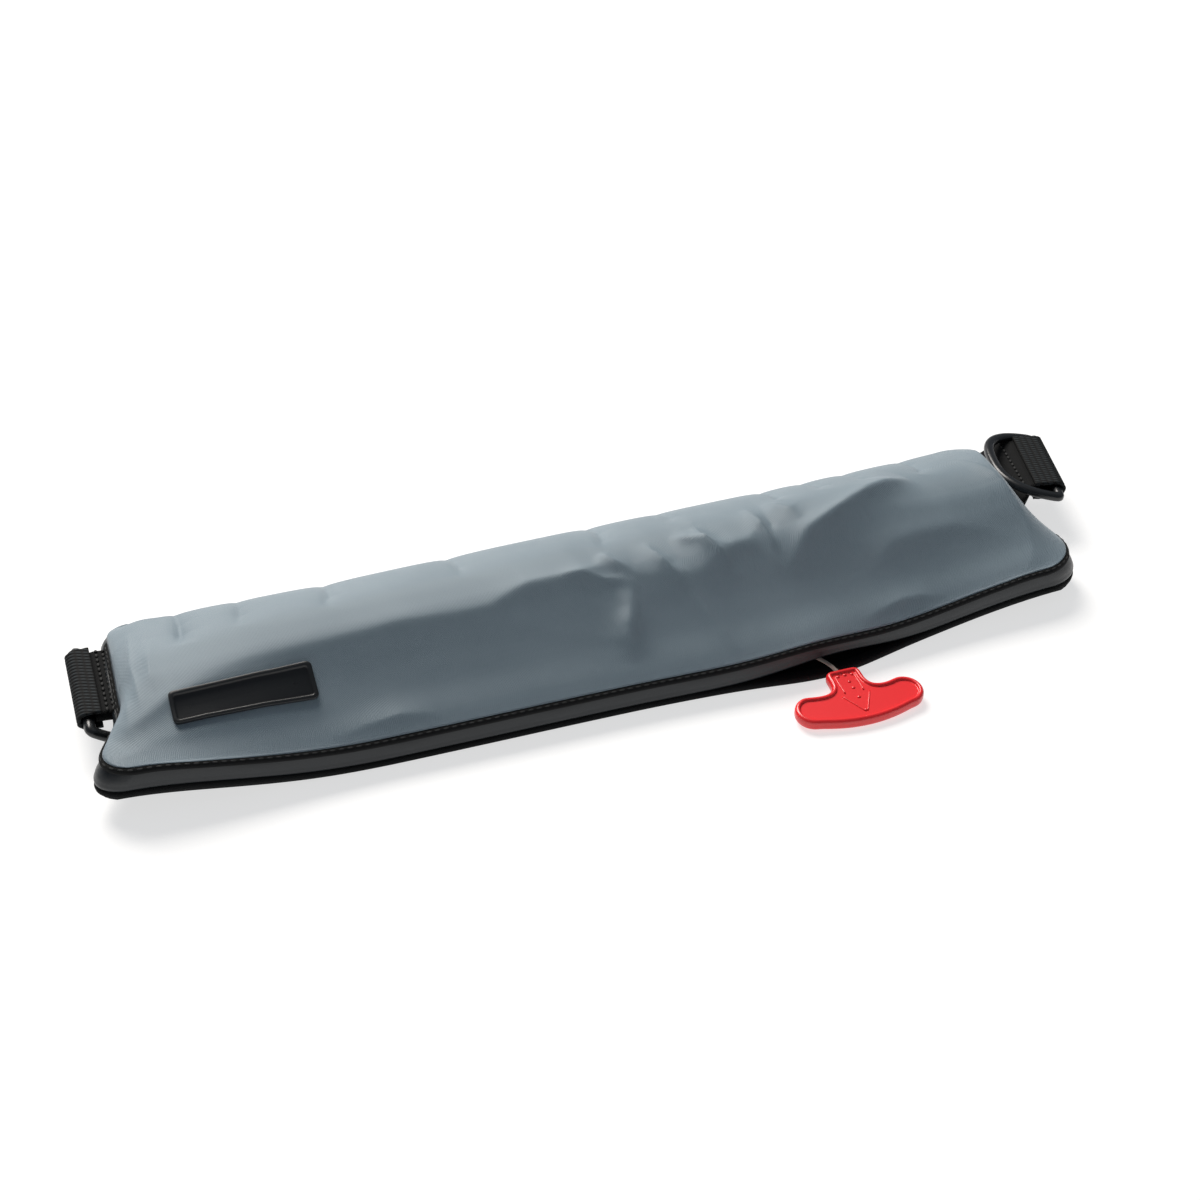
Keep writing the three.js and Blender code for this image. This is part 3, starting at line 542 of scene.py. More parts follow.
# satin-coated nylon: nearly black, with soft highlights along its bends
satinCloth = wovenCloth("satin-coated cloth", "#12171a", "#191f24", 0.36, 0.7, 0.2)
# plain black polyester: matt, so the panel and the piping stay darker than the band
blackCloth = wovenCloth("black woven cloth", "#070809", "#0e1011", 0.9, 0.8, 0.4, ior=1.35)
# ribbed black polyester webbing: black in its grooves as painted shade, grey on its ribs as own colour with
# painted highlight
blackWebbing = ribbedWebbing("ribbed webbing", "#010101", "#2a3033")
# bonded polyester thread: small dark beads that stand out by their shadows
blackThread = solidPlastic("black thread", "#0d0f10", 0.75, 0.3, 3000.0)
weltThread = solidPlastic("black welt thread", "#121415", 0.65, 0.3, 3000.0)
# moulded rubber: dark with a soft, wide gloss on the raised rim
blackRubber = solidPlastic("moulded rubber", "#1a1c1e", 0.4, 0.15, 900.0)
# moulded nylon: smooth, with a clear highlight along the ring
blackPlastic = solidPlastic("moulded black plastic", "#191b1d", 0.33, 0.1, 500.0, coat=0.1)
# moulded polypropylene: bright red, its rim catching the light
redPlastic = solidPlastic("moulded red plastic", "#ee2b2f", 0.3, 0.1, 500.0, coat=0.2)
# braided polyester: dull and pale, its braid seen as small ribs
greyCord = solidPlastic("braided cord", "#a39a91", 0.8, 0.5, 2500.0)


# Pull cord, from inside the pouch to the top of the handle's stem: millimetres in the layout
cordValues = {"diameter": 1.6, "steps": 80, "sides": 16, "braidPitch": 2.0, "braidDepth": 0.08}
cordRoute = np.array([
    [64, 25, 2.95], [65, 17, 2.95], [66.4, 9, 3.1], [68.2, 2, 4.3],
    [70.4, -4, 5.6], [72.2, -8.6, 6.2], [73.6, -12.6, 6.2], [74.7, -16.3, 5.5],
])


def smoothRoute(points, count):
    # cubic pieces through the points by their running length, at evenly spaced stations
    run = runOf(points)
    at = np.linspace(0, run[-1], count)
    return np.stack([through(run, points[:, k], at) for k in range(3)], axis=-1)


def makeCord(values):
    # r = radius - depth + depth cos(2 b + 2 pi s / pitch) cos(2 b - 2 pi s / pitch)
    path = smoothRoute(cordRoute, values["steps"])
    run = runOf(path)
    sides = values["sides"]
    rings = tube(path, 1.0, sides)
    angle = np.linspace(0, 2 * math.pi, sides, endpoint=False)
    turn = 2 * math.pi * run[:, None] / values["braidPitch"]
    swell = values["braidDepth"] * np.cos(2 * angle[None] + turn) * np.cos(2 * angle[None] - turn)
    radius = values["diameter"] / 2 - values["braidDepth"] + swell
    rings = path[:, None] + (rings - path[:, None]) * radius[..., None]
    rings = capped(rings)
    made = makeObject("pullCord", rings, gridFaces(len(rings), sides, wrapColumns=True), greyCord, "pouch",
                      nodes=("pull_cord",))
    return made, path, run[-1]


cord, cordPath, cordLength = makeCord(cordValues)
print("stage: camera and cord")

# Cover
coverValues = {"rows": 340, "columns": 118, "crowding": 0.35, "wall": 1.2, "fill": 0.8}


def spread(count, crowding):
    # 0 to 1, crowded towards both ends: t + c ((1 - cos(pi t)) / 2 - t)
    t = np.linspace(0, 1, count)
    return t + crowding * (0.5 * (1 - np.cos(math.pi * t)) - t)


def clothUv(points):
    # running lengths along the two directions of a grid
    rows, columns = points.shape[:2]
    down = np.cumsum(np.linalg.norm(np.diff(points, axis=0), axis=2), axis=0)
    over = np.cumsum(np.linalg.norm(np.diff(points, axis=1), axis=2), axis=1)
    u = np.concatenate([np.zeros((1, columns)), down])
    v = np.concatenate([np.zeros((rows, 1)), over], axis=1)
    return np.stack([u, v], axis=-1)


def makeCover(values):
    # one sheet, (p, q) -> coverSurface, its wall turned inwards
    p = -1 + 2 * spread(values["rows"], values["crowding"])
    q = spread(values["columns"], values["crowding"])
    points = coverSurface(p[:, None], q[None, :])
    made = makeObject("cover", points, gridFaces(len(p), len(q)), greyCloth, "pouch",
                      uv=clothUv(points), nodes=("front_cover",))
    shell = made.modifiers.new("wall", "SOLIDIFY")
    shell.thickness = values["wall"] * 0.001
    shell.offset = -1.0
    return made


cover = makeCover(coverValues)
print("stage: cover")


def outline(step):
    # the pouch's border anticlockwise from the left end of the closing edge, evenly stepped, with
    # outward directions: (p, q, x, y, nx, ny)
    edge = np.linspace(0, 1, 2400, endpoint=False)
    ones = np.ones(2400)
    p = np.concatenate([2 * edge - 1, ones, 1 - 2 * edge, -ones])
    q = np.concatenate([0 * ones, edge, ones, 1 - edge])
    x, y = plan(p, q)
    run = runOf(np.stack([np.append(x, x[0]), np.append(y, y[0])], axis=-1))
    at = np.linspace(0, run[-1], int(run[-1] / step), endpoint=False)
    p, q, x, y = (np.interp(at, run, np.append(a, a[0])) for a in (p, q, x, y))
    tangentX = np.roll(x, -1) - np.roll(x, 1)
    tangentY = np.roll(y, -1) - np.roll(y, 1)
    size = np.hypot(tangentX, tangentY)
    return {"p": p, "q": q, "x": x, "y": y, "nx": tangentY / size, "ny": -tangentX / size, "run": at}


border = outline(1.2)


def alongBorder(back, z):
    # points set back from the border by this much at this height
    return np.stack([border["x"] - border["nx"] * back, border["y"] - border["ny"] * back, z], axis=-1)


def piped():
    # 1 where the welt runs, easing to 0 at the back corners, past the belt tabs
    return smooth((pouch["width"] - pouch["weltStop"] - border["q"] * pouch["width"]) / pouch["weltEase"])


# Satin band and gusset
bandValues = {"bulge": 0.5, "hem": 1.3, "hemRise": 0.25, "hemEase": 0.4, "foot": 6.0,
              "ripple": 0.12, "rippleLengths": (9.0, 4.3), "welted": 0.7, "leanPower": 1.6}


def makeBand(values):
    # closed profile: the outer face bulges b sin(pi t), a hem stands out at its foot, the inner face is
    # plain, and both lean in at the ends by t^1.6 of the way that the seam is drawn in
    base = lift(border["p"], border["q"])
    front = border["q"] < 0.02
    gape = np.where(front, pouch["mouthRise"] * atMouth(border["x"]), 0.0)
    low = base + pouch["binding"] + pouch["seamGap"] + gape
    high = base + seamAbovePanel(border["p"], border["q"]) - pouch["seamGap"]
    top = np.maximum(high - piped() * (pouch["piping"] * values["welted"]), low + 1.0)
    t = np.linspace(0, 1, 13)
    first, second = values["rippleLengths"]
    ripple = values["ripple"] * (np.sin(border["run"] / first) + 0.6 * np.sin(border["run"] / second + 1.0))
    drawn = np.sign(border["p"]) * drawnIn(border["p"], border["q"])
    inner = np.full_like(low, pouch["bandSetback"] + pouch["bandThickness"])
    rings = []
    for share in t:
        hem = values["hemRise"] * smooth((values["hem"] - share * values["foot"]) / values["hemEase"])
        swell = math.sin(math.pi * share)
        back = pouch["bandSetback"] - (values["bulge"] * swell + hem) + ripple * swell
        rings.append((share, back))
    rings.extend((share, inner) for share in (1.0, 0.5, 0.0))
    points = []
    for share, back in rings:
        ring = alongBorder(back, low + share * (top - low))
        ring[:, 0] -= drawn * share ** values["leanPower"]
        points.append(ring)
    points = np.stack(points, axis=1)
    faces = gridFaces(points.shape[0], points.shape[1], wrapRows=True, wrapColumns=True)
    return makeObject("band", points, faces, satinCloth, "pouch", uv=clothUv(points),
                      nodes=("closure_band",))


band = makeBand(bandValues)

# Piping along the closing edge and up both ends, with its stitches
pipingValues = {"sides": 14, "proud": 0.5, "stitchPitch": 3.1, "stitch": (2.1, 0.55, 0.35),
                "stitchFrom": 3.0, "stitchLean": (0.62, 0.78), "stitchSunk": 0.99}


def makePiping(values):
    # tube of the welt's radius about the border, stitches on its upper flank
    radius = pouch["piping"] / 2
    keep = piped() > 0.02
    start = int(np.argmax(~keep))
    order = (np.arange(len(keep)) + start) % len(keep)
    order = order[keep[order]]
    z = lift(border["p"], border["q"]) + seamAbovePanel(border["p"], border["q"]) - pouch["seamGap"] - radius
    centre = alongBorder(np.full_like(z, pouch["bandSetback"] - values["proud"]), z)
    centre[:, 0] -= np.sign(border["p"]) * drawnIn(border["p"], border["q"])
    centre = centre[order]
    rings = capped(tube(centre, radius, values["sides"]))
    tubeFaces = gridFaces(len(rings), values["sides"], wrapColumns=True)
    made = makeObject("piping", rings, tubeFaces, blackCloth, "pouch", uv=clothUv(rings),
                      nodes=("edge_piping",))
    run = runOf(centre)
    at = np.arange(values["stitchFrom"], run[-1] - values["stitchFrom"], values["stitchPitch"])
    normal = np.stack([border["nx"], border["ny"], np.zeros(len(keep))], axis=-1)[order]
    outward, upward = values["stitchLean"]
    lean = np.array([0.0, 0.0, 1.0]) * upward + alongRun(normal, run, at) * outward
    along = alongRun(np.gradient(centre, axis=0), run, at)
    middle = alongRun(centre, run, at) + lean * radius * values["stitchSunk"]
    points, faces = beadRow(middle, along, lean, values["stitch"])
    stitches = makeObject("pipingStitches", points, faces, weltThread, "pouch")
    return made, stitches


piping, pipingStitches = makePiping(pipingValues)
print("stage: band and piping")

# Back panel and the binding round its edge
panelValues = {"thickness": 1.8, "bindingWidth": 5.0, "rows": 200, "columns": 46,
               "crowding": (0.4, 0.3), "long": 0.995, "wide": (0.012, 0.976), "under": 0.05}


def sagAt(x, q):
    # how far the panel's front edge hangs forward at the mouth
    return pouch["mouthSag"] * atMouth(x) * np.maximum(1 - q / 0.2, 0.0)


def makePanel(values):
    # flat sheet: top at lift + thickness, underside just over lift, drawn in behind the binding
    p = -1 + 2 * spread(values["rows"], values["crowding"][0])
    q = spread(values["columns"], values["crowding"][1])
    first, share = values["wide"]
    x, y = plan(p[:, None] * values["long"], first + share * q[None, :])
    rise = lift(p[:, None], q[None, :])
    y = y - sagAt(x, q[None, :])
    top = np.stack([x, y, rise + values["thickness"]], axis=-1)
    under = np.stack([x, y, rise + values["under"]], axis=-1)
    uv = clothUv(top)
    return makeObject("backPanel", stacked(top, under), sheetFaces(len(p), len(q)), blackCloth, "pouch",
                      uv=stacked(uv, uv), nodes=("back_panel",))


def makeBinding(values):
    # flattened roll round the panel's edge: out = w cos(a)^0.7, up = h sin(a)^0.8, on the border
    base = lift(border["p"], border["q"])
    sag = np.where(border["q"] < 0.2, sagAt(border["x"], border["q"]), 0.0)
    angle = np.linspace(0, 2 * math.pi, 14, endpoint=False)
    high = pouch["binding"] / 2
    wide = values["bindingWidth"] / 2
    rings = []
    for a in angle:
        out = wide * np.sign(math.cos(a)) * abs(math.cos(a)) ** 0.7
        up = high * np.sign(math.sin(a)) * abs(math.sin(a)) ** 0.8
        ring = alongBorder(wide - out + 0 * base, base + high + up)
        ring[:, 1] -= sag
        rings.append(ring)
    points = np.stack(rings, axis=1)
    faces = gridFaces(points.shape[0], points.shape[1], wrapRows=True, wrapColumns=True)
    return makeObject("panelBinding", points, faces, blackCloth, "pouch", uv=clothUv(points))


panel = makePanel(panelValues)
binding = makeBinding(panelValues)
print("stage: back panel")

# Name patch, left bare
patchValues = {"length": 50.0, "height": 13.5, "thickness": 1.6, "rim": 1.5, "recess": 1.0,
               "corner": 1.8, "fromEnd": 32.5, "up": 13.0, "tilt": 1.5, "slopeShare": 0.72, "gap": 0.05}


def closedFaces(rings):
    # quads between the rings, then the first and the last ring as one face each
    rows, columns = rings.shape[:2]
    faces = gridFaces(rows, columns, wrapColumns=True)[:, ::-1].tolist()
    return faces + [((rows - 1) * columns + np.arange(columns)).tolist(), np.arange(columns)[::-1].tolist()]


def coverAt(x, across):
    # the cover's point over this x and this distance from the front, with its unit normal from two
    # neighbours a small step away
    step = 0.2
    side = np.where(x < 0, -1.0, 1.0)

    def surfaceAt(a, b):  # the cover's own sheet over any x and distance
        return coverSurface(a / reachAt(side, b), b / pouch["width"])

    here = surfaceAt(x, across)
    return here, normalOf(surfaceAt(x + step, across) - here, surfaceAt(x, across + step) - here)


def roundedLoop(halfWide, halfHigh, radius, perCorner, count):
    # corners as quarter arcs about (w - r, h - r), count even points
    radius = max(min(radius, halfWide, halfHigh), 0.01)
    angle = np.linspace(0, math.pi / 2, perCorner)
    parts = []
    for k, (sx, sy) in enumerate([(1, 1), (-1, 1), (-1, -1), (1, -1)]):
        a = angle + k * math.pi / 2
        x = sx * (halfWide - radius) + radius * np.cos(a)
        y = sy * (halfHigh - radius) + radius * np.sin(a)
        parts.append(np.stack([x, y], axis=-1))
    return evenly(np.concatenate(parts), count)


def makePatch(values):
    # rings drawn in from the edge, each with its height, laid on the cover along its normal
    rim, recess, thick = values["rim"], values["recess"], values["thickness"]
    halfLong, halfHigh, field = values["length"] / 2, values["height"] / 2, thick - recess
    profile = [(0.0, 0.0), (0.0, thick * 0.7), (0.12, thick * 0.9), (0.35, thick), (rim * 0.8, thick),
               (rim, thick * 0.96), (rim + 0.12, field), (rim + 0.5, field), (rim + 2.2, field),
               (rim + 3.6, field), (halfHigh - 0.03, field)]
    rings = []
    for inset, height in profile:
        loop = roundedLoop(halfLong - inset, halfHigh - inset, values["corner"] - inset * 0.6, 8, 160)
        rings.append(np.concatenate([loop, np.full((len(loop), 1), height)], axis=1))
    rings = np.stack(rings)
    middle = -half + values["fromEnd"] + values["length"] / 2
    tilt = math.radians(values["tilt"])
    u, v = rings[..., 0], rings[..., 1]
    x = middle + u * math.cos(tilt)
    climb = values["up"] + (v + values["height"] / 2 + u * math.sin(tilt)) * values["slopeShare"]
    here, normal = coverAt(x, climb)
    points = here + normal * (rings[..., 2:3] + values["gap"])
    return makeObject("namePatch", points, closedFaces(rings), blackRubber, "pouch",
                      nodes=("name_patch",))


patch = makePatch(patchValues)
print("stage: patch")


def turned(z, x):
    # axes tipped by x about X, then turned by z about Z: Rz(z) Rx(x)
    aboutZ = np.array([[math.cos(z), -math.sin(z), 0], [math.sin(z), math.cos(z), 0], [0, 0, 1]])
    aboutX = np.array([[1, 0, 0], [0, math.cos(x), -math.sin(x)], [0, math.sin(x), math.cos(x)]])
    return aboutZ @ aboutX


def loopFrame(side):
    # origin and axes of a loop from the shared layout: turned about Z, then tipped along the slope
    left = side == "left"
    p = -1.0 if left else 1.0
    end = endValues[side]
    tab = tabValues["fromFront"][0 if left else 1] / pouch["width"]
    seat = plan(p, end["fromFront"] / pouch["width"])
    rise = float(lift(p, tab)) + tabValues["rise"] + end["rise"]
    origin = np.array([float(seat[0]) + p * end["reach"], float(seat[1]), rise])
    turn = math.radians(end["turn"])
    return origin, turned(math.pi - turn if left else turn, p * math.radians(end["tilt"]))


def toLayout(points, placed):
    # origin + axes point
    origin, axes = placed
    return origin + np.asarray(points) @ axes.T


def makeLoop(side):
    # webbing round the bar: a hairpin line, offset to both sides by half the thickness less
    # depth (1 - rib), where rib = |sin(pi (y / ribPitch + column / 2 + lean phase))|^0.8 in each column
    values, end = loopValues, endValues[side]
    inner = values["bar"] / 2 + values["clearance"]
    middle = inner + values["thickness"] / 2
    outer = inner + values["thickness"]
    start = outer - end["length"]
    straight = np.linspace(start, 0, 24)
    angle = np.linspace(math.pi / 2, -math.pi / 2, 30)
    line = np.concatenate([
        np.stack([straight, np.full(24, middle)], axis=-1)[:-1],
        middle * np.stack([np.cos(angle), np.sin(angle)], axis=-1),
        np.stack([straight[::-1], np.full(24, -middle)], axis=-1)[1:],
    ])
    run = runOf(line)
    at = np.linspace(0, run[-1], int(run[-1] / values["step"]))
    line = alongRun(line, run, at)
    tangent = unit(np.gradient(line, axis=0))
    normal = np.stack([-tangent[:, 1], tangent[:, 0]], axis=-1)
    across = np.linspace(-values["width"] / 2, values["width"] / 2, values["columns"])
    column = np.floor(at / values["columnPitch"])
    phase = at / values["columnPitch"] - column
    shifted = across[None] / values["ribPitch"] + (0.5 * column + values["ribLean"] * phase)[:, None]
    rib = np.abs(np.sin(math.pi * shifted)) ** 0.8 * (0.35 + 0.65 * np.sin(math.pi * phase[:, None]) ** 0.6)
    thick = values["thickness"] / 2
    edge = np.clip((values["width"] / 2 - np.abs(across)) / 0.6, 0.0, 1.0) ** 0.5
    upper = (thick - values["ribDepth"] + values["ribDepth"] * rib) * (0.3 + 0.7 * edge[None])
    lower = -upper

    def sheetAt(height):  # line + normal height, across the width
        flat = line[:, None] + normal[:, None] * height[..., None]
        return np.stack([flat[..., 0], np.broadcast_to(across[None], height.shape), flat[..., 1]], axis=-1)

    top, under = sheetAt(upper), sheetAt(lower)
    uv = np.stack(np.broadcast_arrays(at[:, None], across[None]), axis=-1)
    return makeObject(f"webbingLoop{side.title()}", toLayout(stacked(top, under), loopFrame(side)),
                      sheetFaces(*upper.shape, flipped=True), blackWebbing, "pouch",
                      uv=stacked(uv, uv), nodes=(f"webbing_loop_{side}",))


ringValues = {"bar": 4.0, "wide": 4.2, "thick": 3.4, "depth": 25.0, "clearance": 1.8, "squared": 0.76}


def makeRing(side):
    # closed D: a straight bar, then x = -d sin(a)^s, y = w cos(a)^s, with the oval section
    # (w cos(a)^0.85, t sin(a)^0.85)
    values = ringValues
    sideAt = loopValues["width"] / 2 + values["clearance"] + values["wide"] / 2
    depth = values["depth"] - values["wide"] / 2
    bar = np.linspace(-0.93, 0.93, 24)
    angle = np.linspace(0, math.pi, 110)
    power = values["squared"]
    bow = np.stack([-depth * np.sin(angle) ** power,
                    sideAt * np.sign(np.cos(angle)) * np.abs(np.cos(angle)) ** power], axis=-1)
    route = np.concatenate([np.stack([0 * bar, bar * sideAt], axis=-1), bow])
    onBar = np.concatenate([np.ones(24), np.zeros(110)])
    closed = np.concatenate([route, route[:1]])
    run = runOf(closed)
    at = np.linspace(0, run[-1], 160, endpoint=False)
    onBar = np.interp(at, run, np.append(onBar, 1.0))
    route = softened(alongRun(closed, run, at), 3)
    tangent = unit(np.roll(route, -1, axis=0) - np.roll(route, 1, axis=0))
    out = np.stack([tangent[:, 1], -tangent[:, 0]], axis=-1)
    halfWide = (values["wide"] + (values["bar"] - values["wide"]) * onBar) / 2
    halfThick = (values["thick"] + (values["bar"] - values["thick"]) * onBar) / 2
    a = np.linspace(0, 2 * math.pi, 20, endpoint=False)
    acrossBar, upBar = (np.sign(c) * np.abs(c) ** 0.85 for c in (np.cos(a), np.sin(a)))
    flat = route[:, None] + out[:, None] * (halfWide[:, None] * acrossBar[None])[..., None]
    z = halfThick[:, None] * upBar[None]
    points = np.concatenate([flat, z[..., None]], axis=-1)
    turn = math.radians(endValues[side]["ring"])
    about = np.array([[math.cos(turn), 0, math.sin(turn)], [0, 1, 0], [-math.sin(turn), 0, math.cos(turn)]])
    points = toLayout(points @ about.T + np.array([0.0, endValues[side]["slide"], 0.0]), loopFrame(side))
    faces = gridFaces(len(route), 20, wrapRows=True, wrapColumns=True)
    return makeObject(f"dRing{side.title()}", points, faces, blackPlastic, f"ring_{side}",
                      nodes=(f"d_ring_{side}",))


def makeTab(side):
    # thick strip through three lines: a (1 - t) + b t between them, from under the cover to between
    # the loop's legs, its long edges rounded
    values = tabValues
    p = -1.0 if side == "left" else 1.0
    centre = values["fromFront"][0 if side == "left" else 1]
    halfWide = loopValues["width"] / 2 - values["narrower"]
    share = np.linspace(-1, 1, 40)
    across = (centre + share * halfWide) / pouch["width"]
    x, y = plan(p, across)
    root = lift(p, across) + values["rise"] + values["rootRise"]
    stops = [np.stack([x - p * values["tucked"], y, root], axis=-1)]
    outer = loopValues["bar"] / 2 + loopValues["clearance"] + loopValues["thickness"]
    mouth = outer - endValues[side]["length"]
    for at in (mouth - values["level"], mouth + values["overlap"]):
        inLoop = np.stack([np.full(len(share), at), share * p * halfWide, np.zeros(len(share))], axis=-1)
        stops.append(toLayout(inLoop, loopFrame(side)))
    lines = []
    for k in range(2):
        for t in np.linspace(0, 1, 24, endpoint=k == 1):
            lines.append(stops[k] * (1 - t) + stops[k + 1] * t)
    middle = np.stack(lines)
    # the back edge widens towards the pouch
    onWay = np.linspace(0, 1, len(middle)) / values["flareRun"]
    flare = values["flare"][0 if side == "left" else 1] * (1 - smooth(onWay))
    backward = unit(middle[:, -1] - middle[:, 0])
    middle = middle + backward[:, None] * (flare[:, None] * np.maximum(share, 0.0)[None] ** 1.5)[..., None]
    rounded = np.clip((1 - np.abs(share)) * halfWide / values["round"] + 0.25, 0, 1) ** 0.5
    thick = values["thickness"] / 2 * rounded
    up = np.array([0.0, 0.0, 1.0])
    top = middle + up * thick[None, :, None]
    under = middle - up * thick[None, :, None]
    rows, columns = middle.shape[:2]
    uv = clothUv(top)
    made = makeObject(f"strapTab{side.title()}", stacked(top, under), sheetFaces(rows, columns), blackCloth,
                      "pouch", uv=stacked(uv, uv), nodes=(f"strap_tab_{side}",))
    rowsOfStitches = []
    for row in values["stitchRows"]:
        line = top[int(row * (rows - 1) * 0.5)]
        run = runOf(line)
        at = np.arange(2.0, run[-1] - 1.5, values["stitchPitch"])
        centres = alongRun(line, run, at) + up * values["stitchRise"]
        along = alongRun(np.gradient(line, axis=0), run, at)
        rowsOfStitches.append(beadRow(centres, along, np.tile(up, (len(at), 1)), values["stitch"]))
    points, faces = merge(rowsOfStitches)
    makeObject(f"tabStitches{side.title()}", points, faces, blackThread, "pouch")
    return made


for sideName in ("left", "right"):
    makeLoop(sideName)
    makeRing(sideName)
    makeTab(sideName)
print("stage: belt ends")

# Pull handle: millimetres and degrees. Pips are dots and ridges are raised lines, on the sunk field.
handleValues = {
    "width": 50.0, "height": 26.8, "chin": 10.2, "neck": 5.9, "thickness": 4.4, "lobe": 7.0,
    "stem": 13.4, "fillet": 5.0, "recess": 0.85, "softened": 26,
    "turn": -1.5, "pitch": 7.0, "along": 75.0, "ahead": 33.4,
    "pips": [(-2.6, 13.4), (0.2, 13.6), (2.9, 13.3), (0.4, 10.0), (0.5, 6.6), (0.4, 1.6), (0.2, -5.2)],
    "pip": (1.5, 1.5, 0.8),
    "ridges": [((-3.7, 14.0), (-3.7, 4.6)), ((3.7, 14.0), (3.7, 4.6)), ((-5.4, 3.4), (-0.3, -5.8)),
               ((5.4, 3.4), (0.5, -5.8))],
    "ridge": 0.32,
}


def quadratic(a, b, c, count):
    # (1 - t)^2 a + 2 t (1 - t) b + t^2 c
    t = np.linspace(0, 1, count, endpoint=False)[:, None]
    return (1 - t) ** 2 * np.array(a) + 2 * t * (1 - t) * np.array(b) + t**2 * np.array(c)


def arc(cx, cy, radius, start, end, count):
    # centre + r (cos a, sin a)
    a = np.linspace(start, end, count, endpoint=False)
    return np.stack([cx + radius * np.cos(a), cy + radius * np.sin(a)], axis=-1)


def handleOutline(values):
    # a T with a bowed crossbar, evenly stepped round
    lobe, at = values["lobe"], values["width"] / 2 - values["lobe"]
    stem, top, chin = values["stem"] / 2, values["height"] - values["chin"], -values["chin"]
    fillet, neck = values["fillet"], values["neck"]
    lean = math.pi * 0.55
    shoulder = stem + fillet
    high = top - 2
    waist = (neck + fillet + high) / 2
    lobeTop = (at + lobe * math.cos(lean), lobe * math.sin(lean))
    parts = [
        quadratic((-at, -lobe), (-at / 2, chin), (0, chin), 30),
        quadratic((0, chin), (at / 2, chin), (at, -lobe), 30),
        arc(at, 0, lobe, -math.pi / 2, lean, 30),
        quadratic(lobeTop, (stem + fillet * 1.6, neck), (shoulder, neck), 16),
        quadratic((shoulder, neck), (stem, neck), (stem, neck + fillet), 16),
        quadratic((stem, neck + fillet), (stem, waist), (stem, high), 8),
        quadratic((stem, high), (stem, top), (stem - 2, top), 8),
        quadratic((stem - 2, top), (0, top), (-stem + 2, top), 12),
        quadratic((-stem + 2, top), (-stem, top), (-stem, high), 8),
        quadratic((-stem, high), (-stem, waist), (-stem, neck + fillet), 8),
        quadratic((-stem, neck + fillet), (-stem, neck), (-shoulder, neck), 16),
        quadratic((-shoulder, neck), (-stem - fillet * 1.6, neck), (-at + lobe * math.cos(lean), lobe), 16),
        arc(-at, 0, lobe, lean, math.pi * 1.5, 30),
    ]
    return softened(evenly(np.concatenate(parts), 420), values["softened"])


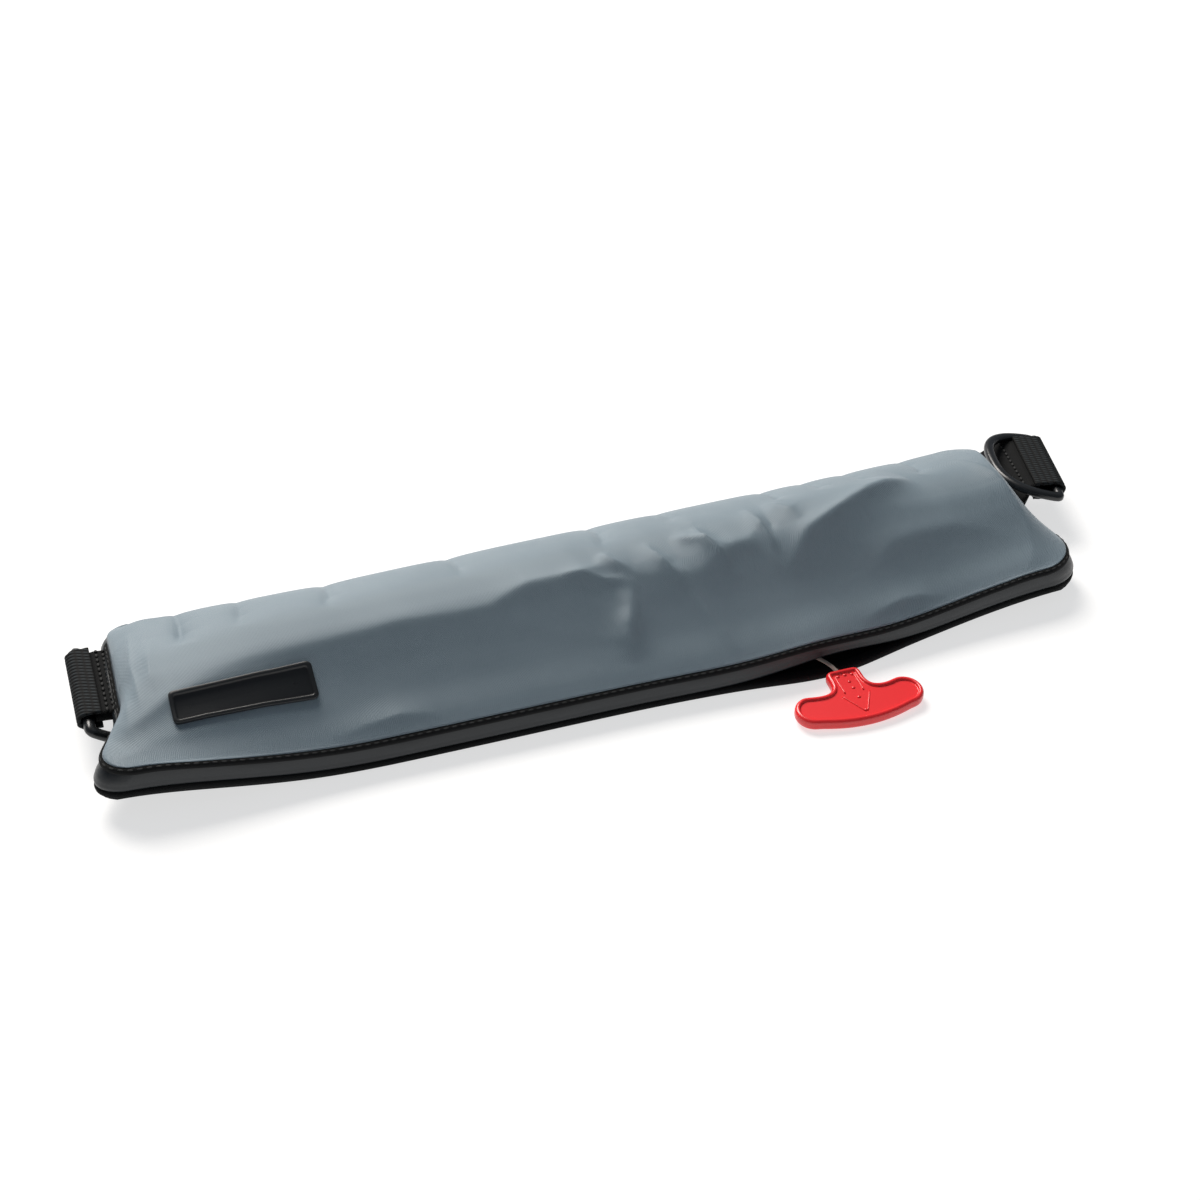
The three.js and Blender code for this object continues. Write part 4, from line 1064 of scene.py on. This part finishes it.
def makeHandle(values):
    # profile (inset, height) carried round the outline, flat fields closing both sides
    line = handleOutline(values)
    tangent = unit(np.roll(line, -1, axis=0) - np.roll(line, 1, axis=0))
    inward = np.stack([-tangent[:, 1], tangent[:, 0]], axis=-1)
    high, recess = values["thickness"] / 2, values["recess"]
    top = [(0.0, high - 1.5), (0.1, high - 0.95), (0.36, high - 0.45), (0.75, high - 0.14), (1.15, high),
           (1.55, high - 0.06), (1.8, high - 0.3), (1.94, high - 0.65), (2.08, high - recess),
           (2.3, high - recess), (2.7, high - recess)]
    profile = [(inset, -height) for inset, height in top[::-1]] + [(0.0, 0.0)] + top
    rings = []
    for inset, height in profile:
        rings.append(np.concatenate([line + inward * inset, np.full((len(line), 1), height)], axis=1))
    rings = np.stack(rings)
    pieces = [(rings, closedFaces(rings))]
    field = high - recess
    pips = np.array([[x, y, field] for x, y in values["pips"]])
    along, up = np.tile([1.0, 0, 0], (len(pips), 1)), np.tile([0, 0, 1.0], (len(pips), 1))
    pieces.append(beadRow(pips, along, up, values["pip"]))
    for (x1, y1), (x2, y2) in values["ridges"]:
        path = np.stack([np.linspace(x1, x2, 12), np.linspace(y1, y2, 12), np.full(12, field)], axis=-1)
        ring = capped(tube(path, values["ridge"], 8))
        pieces.append((ring, gridFaces(len(ring), 8, wrapColumns=True).tolist()))
    points, faces = merge(pieces)
    pitch = math.radians(values["pitch"])
    low = values["chin"] * math.sin(pitch) + values["thickness"] / 2
    place = np.array([values["along"], -values["ahead"], low])
    points = toLayout(points, (place, turned(math.radians(values["turn"]), pitch)))
    return makeObject("pullHandle", points, faces, redPlastic, "pouch",
                      nodes=("pull_handle",))


handle = makeHandle(handleValues)
print("stage: handle")

# Floor and light: metres and watts
floorValues = {"size": 6.0, "under": 0.0002, "colour": "#aaaaaa", "roughness": 0.9, "glow": 0.66}
lightValues = {"world": 0.17, "sky": "#dde9f8", "key": 72.0, "keyAt": (-0.26, 1.35, 1.75),
               "keySize": (1.3, 1.3), "keyColour": "#fffaf4"}


def makeFloor(values):
    # a square of matt acrylic, lit from below, so that its shadows stay pale
    material, _, shader = startMaterial("lit acrylic table", values["colour"], values["roughness"])
    shader.inputs["Emission Color"].default_value = colour("#ffffff")
    shader.inputs["Emission Strength"].default_value = values["glow"]
    far, low = values["size"] / 2, -values["under"]
    corners = [(-far, -far, low), (far, -far, low), (far, far, low), (-far, far, low)]
    mesh = bpy.data.meshes.new("floor")
    mesh.from_pydata(corners, [], [(0, 1, 2, 3)])
    floor = bpy.data.objects.new("floor", mesh)
    bpy.context.scene.collection.objects.link(floor)
    mesh.materials.append(material)
    return floor


def makeLight(values):
    # a pale sky all round, and one soft box behind and above that faces the part's middle: its turn is
    # atan2(-x, y) and its tip acos(-z) of the way to the middle
    world = bpy.data.worlds.new("studio")
    world.use_nodes = True
    world.node_tree.nodes["Background"].inputs[0].default_value = colour(values["sky"])
    world.node_tree.nodes["Background"].inputs[1].default_value = values["world"]
    bpy.context.scene.world = world
    data = bpy.data.lights.new("key", "AREA")
    data.shape = "RECTANGLE"
    data.size, data.size_y = values["keySize"]
    data.energy = values["key"]
    data.color = colour(values["keyColour"])[:3]
    lamp = bpy.data.objects.new("key", data)
    bpy.context.scene.collection.objects.link(lamp)
    lamp.location = values["keyAt"]
    aim = -np.array(values["keyAt"])
    aim = aim / np.linalg.norm(aim)
    lamp.rotation_euler = (math.acos(-aim[2]), 0.0, math.atan2(-aim[0], aim[1]))
    bpy.context.scene.view_settings.view_transform = "Standard"  # the photo's whites and greys as they are


floor = makeFloor(floorValues)
makeLight(lightValues)
print("stage: floor and light")
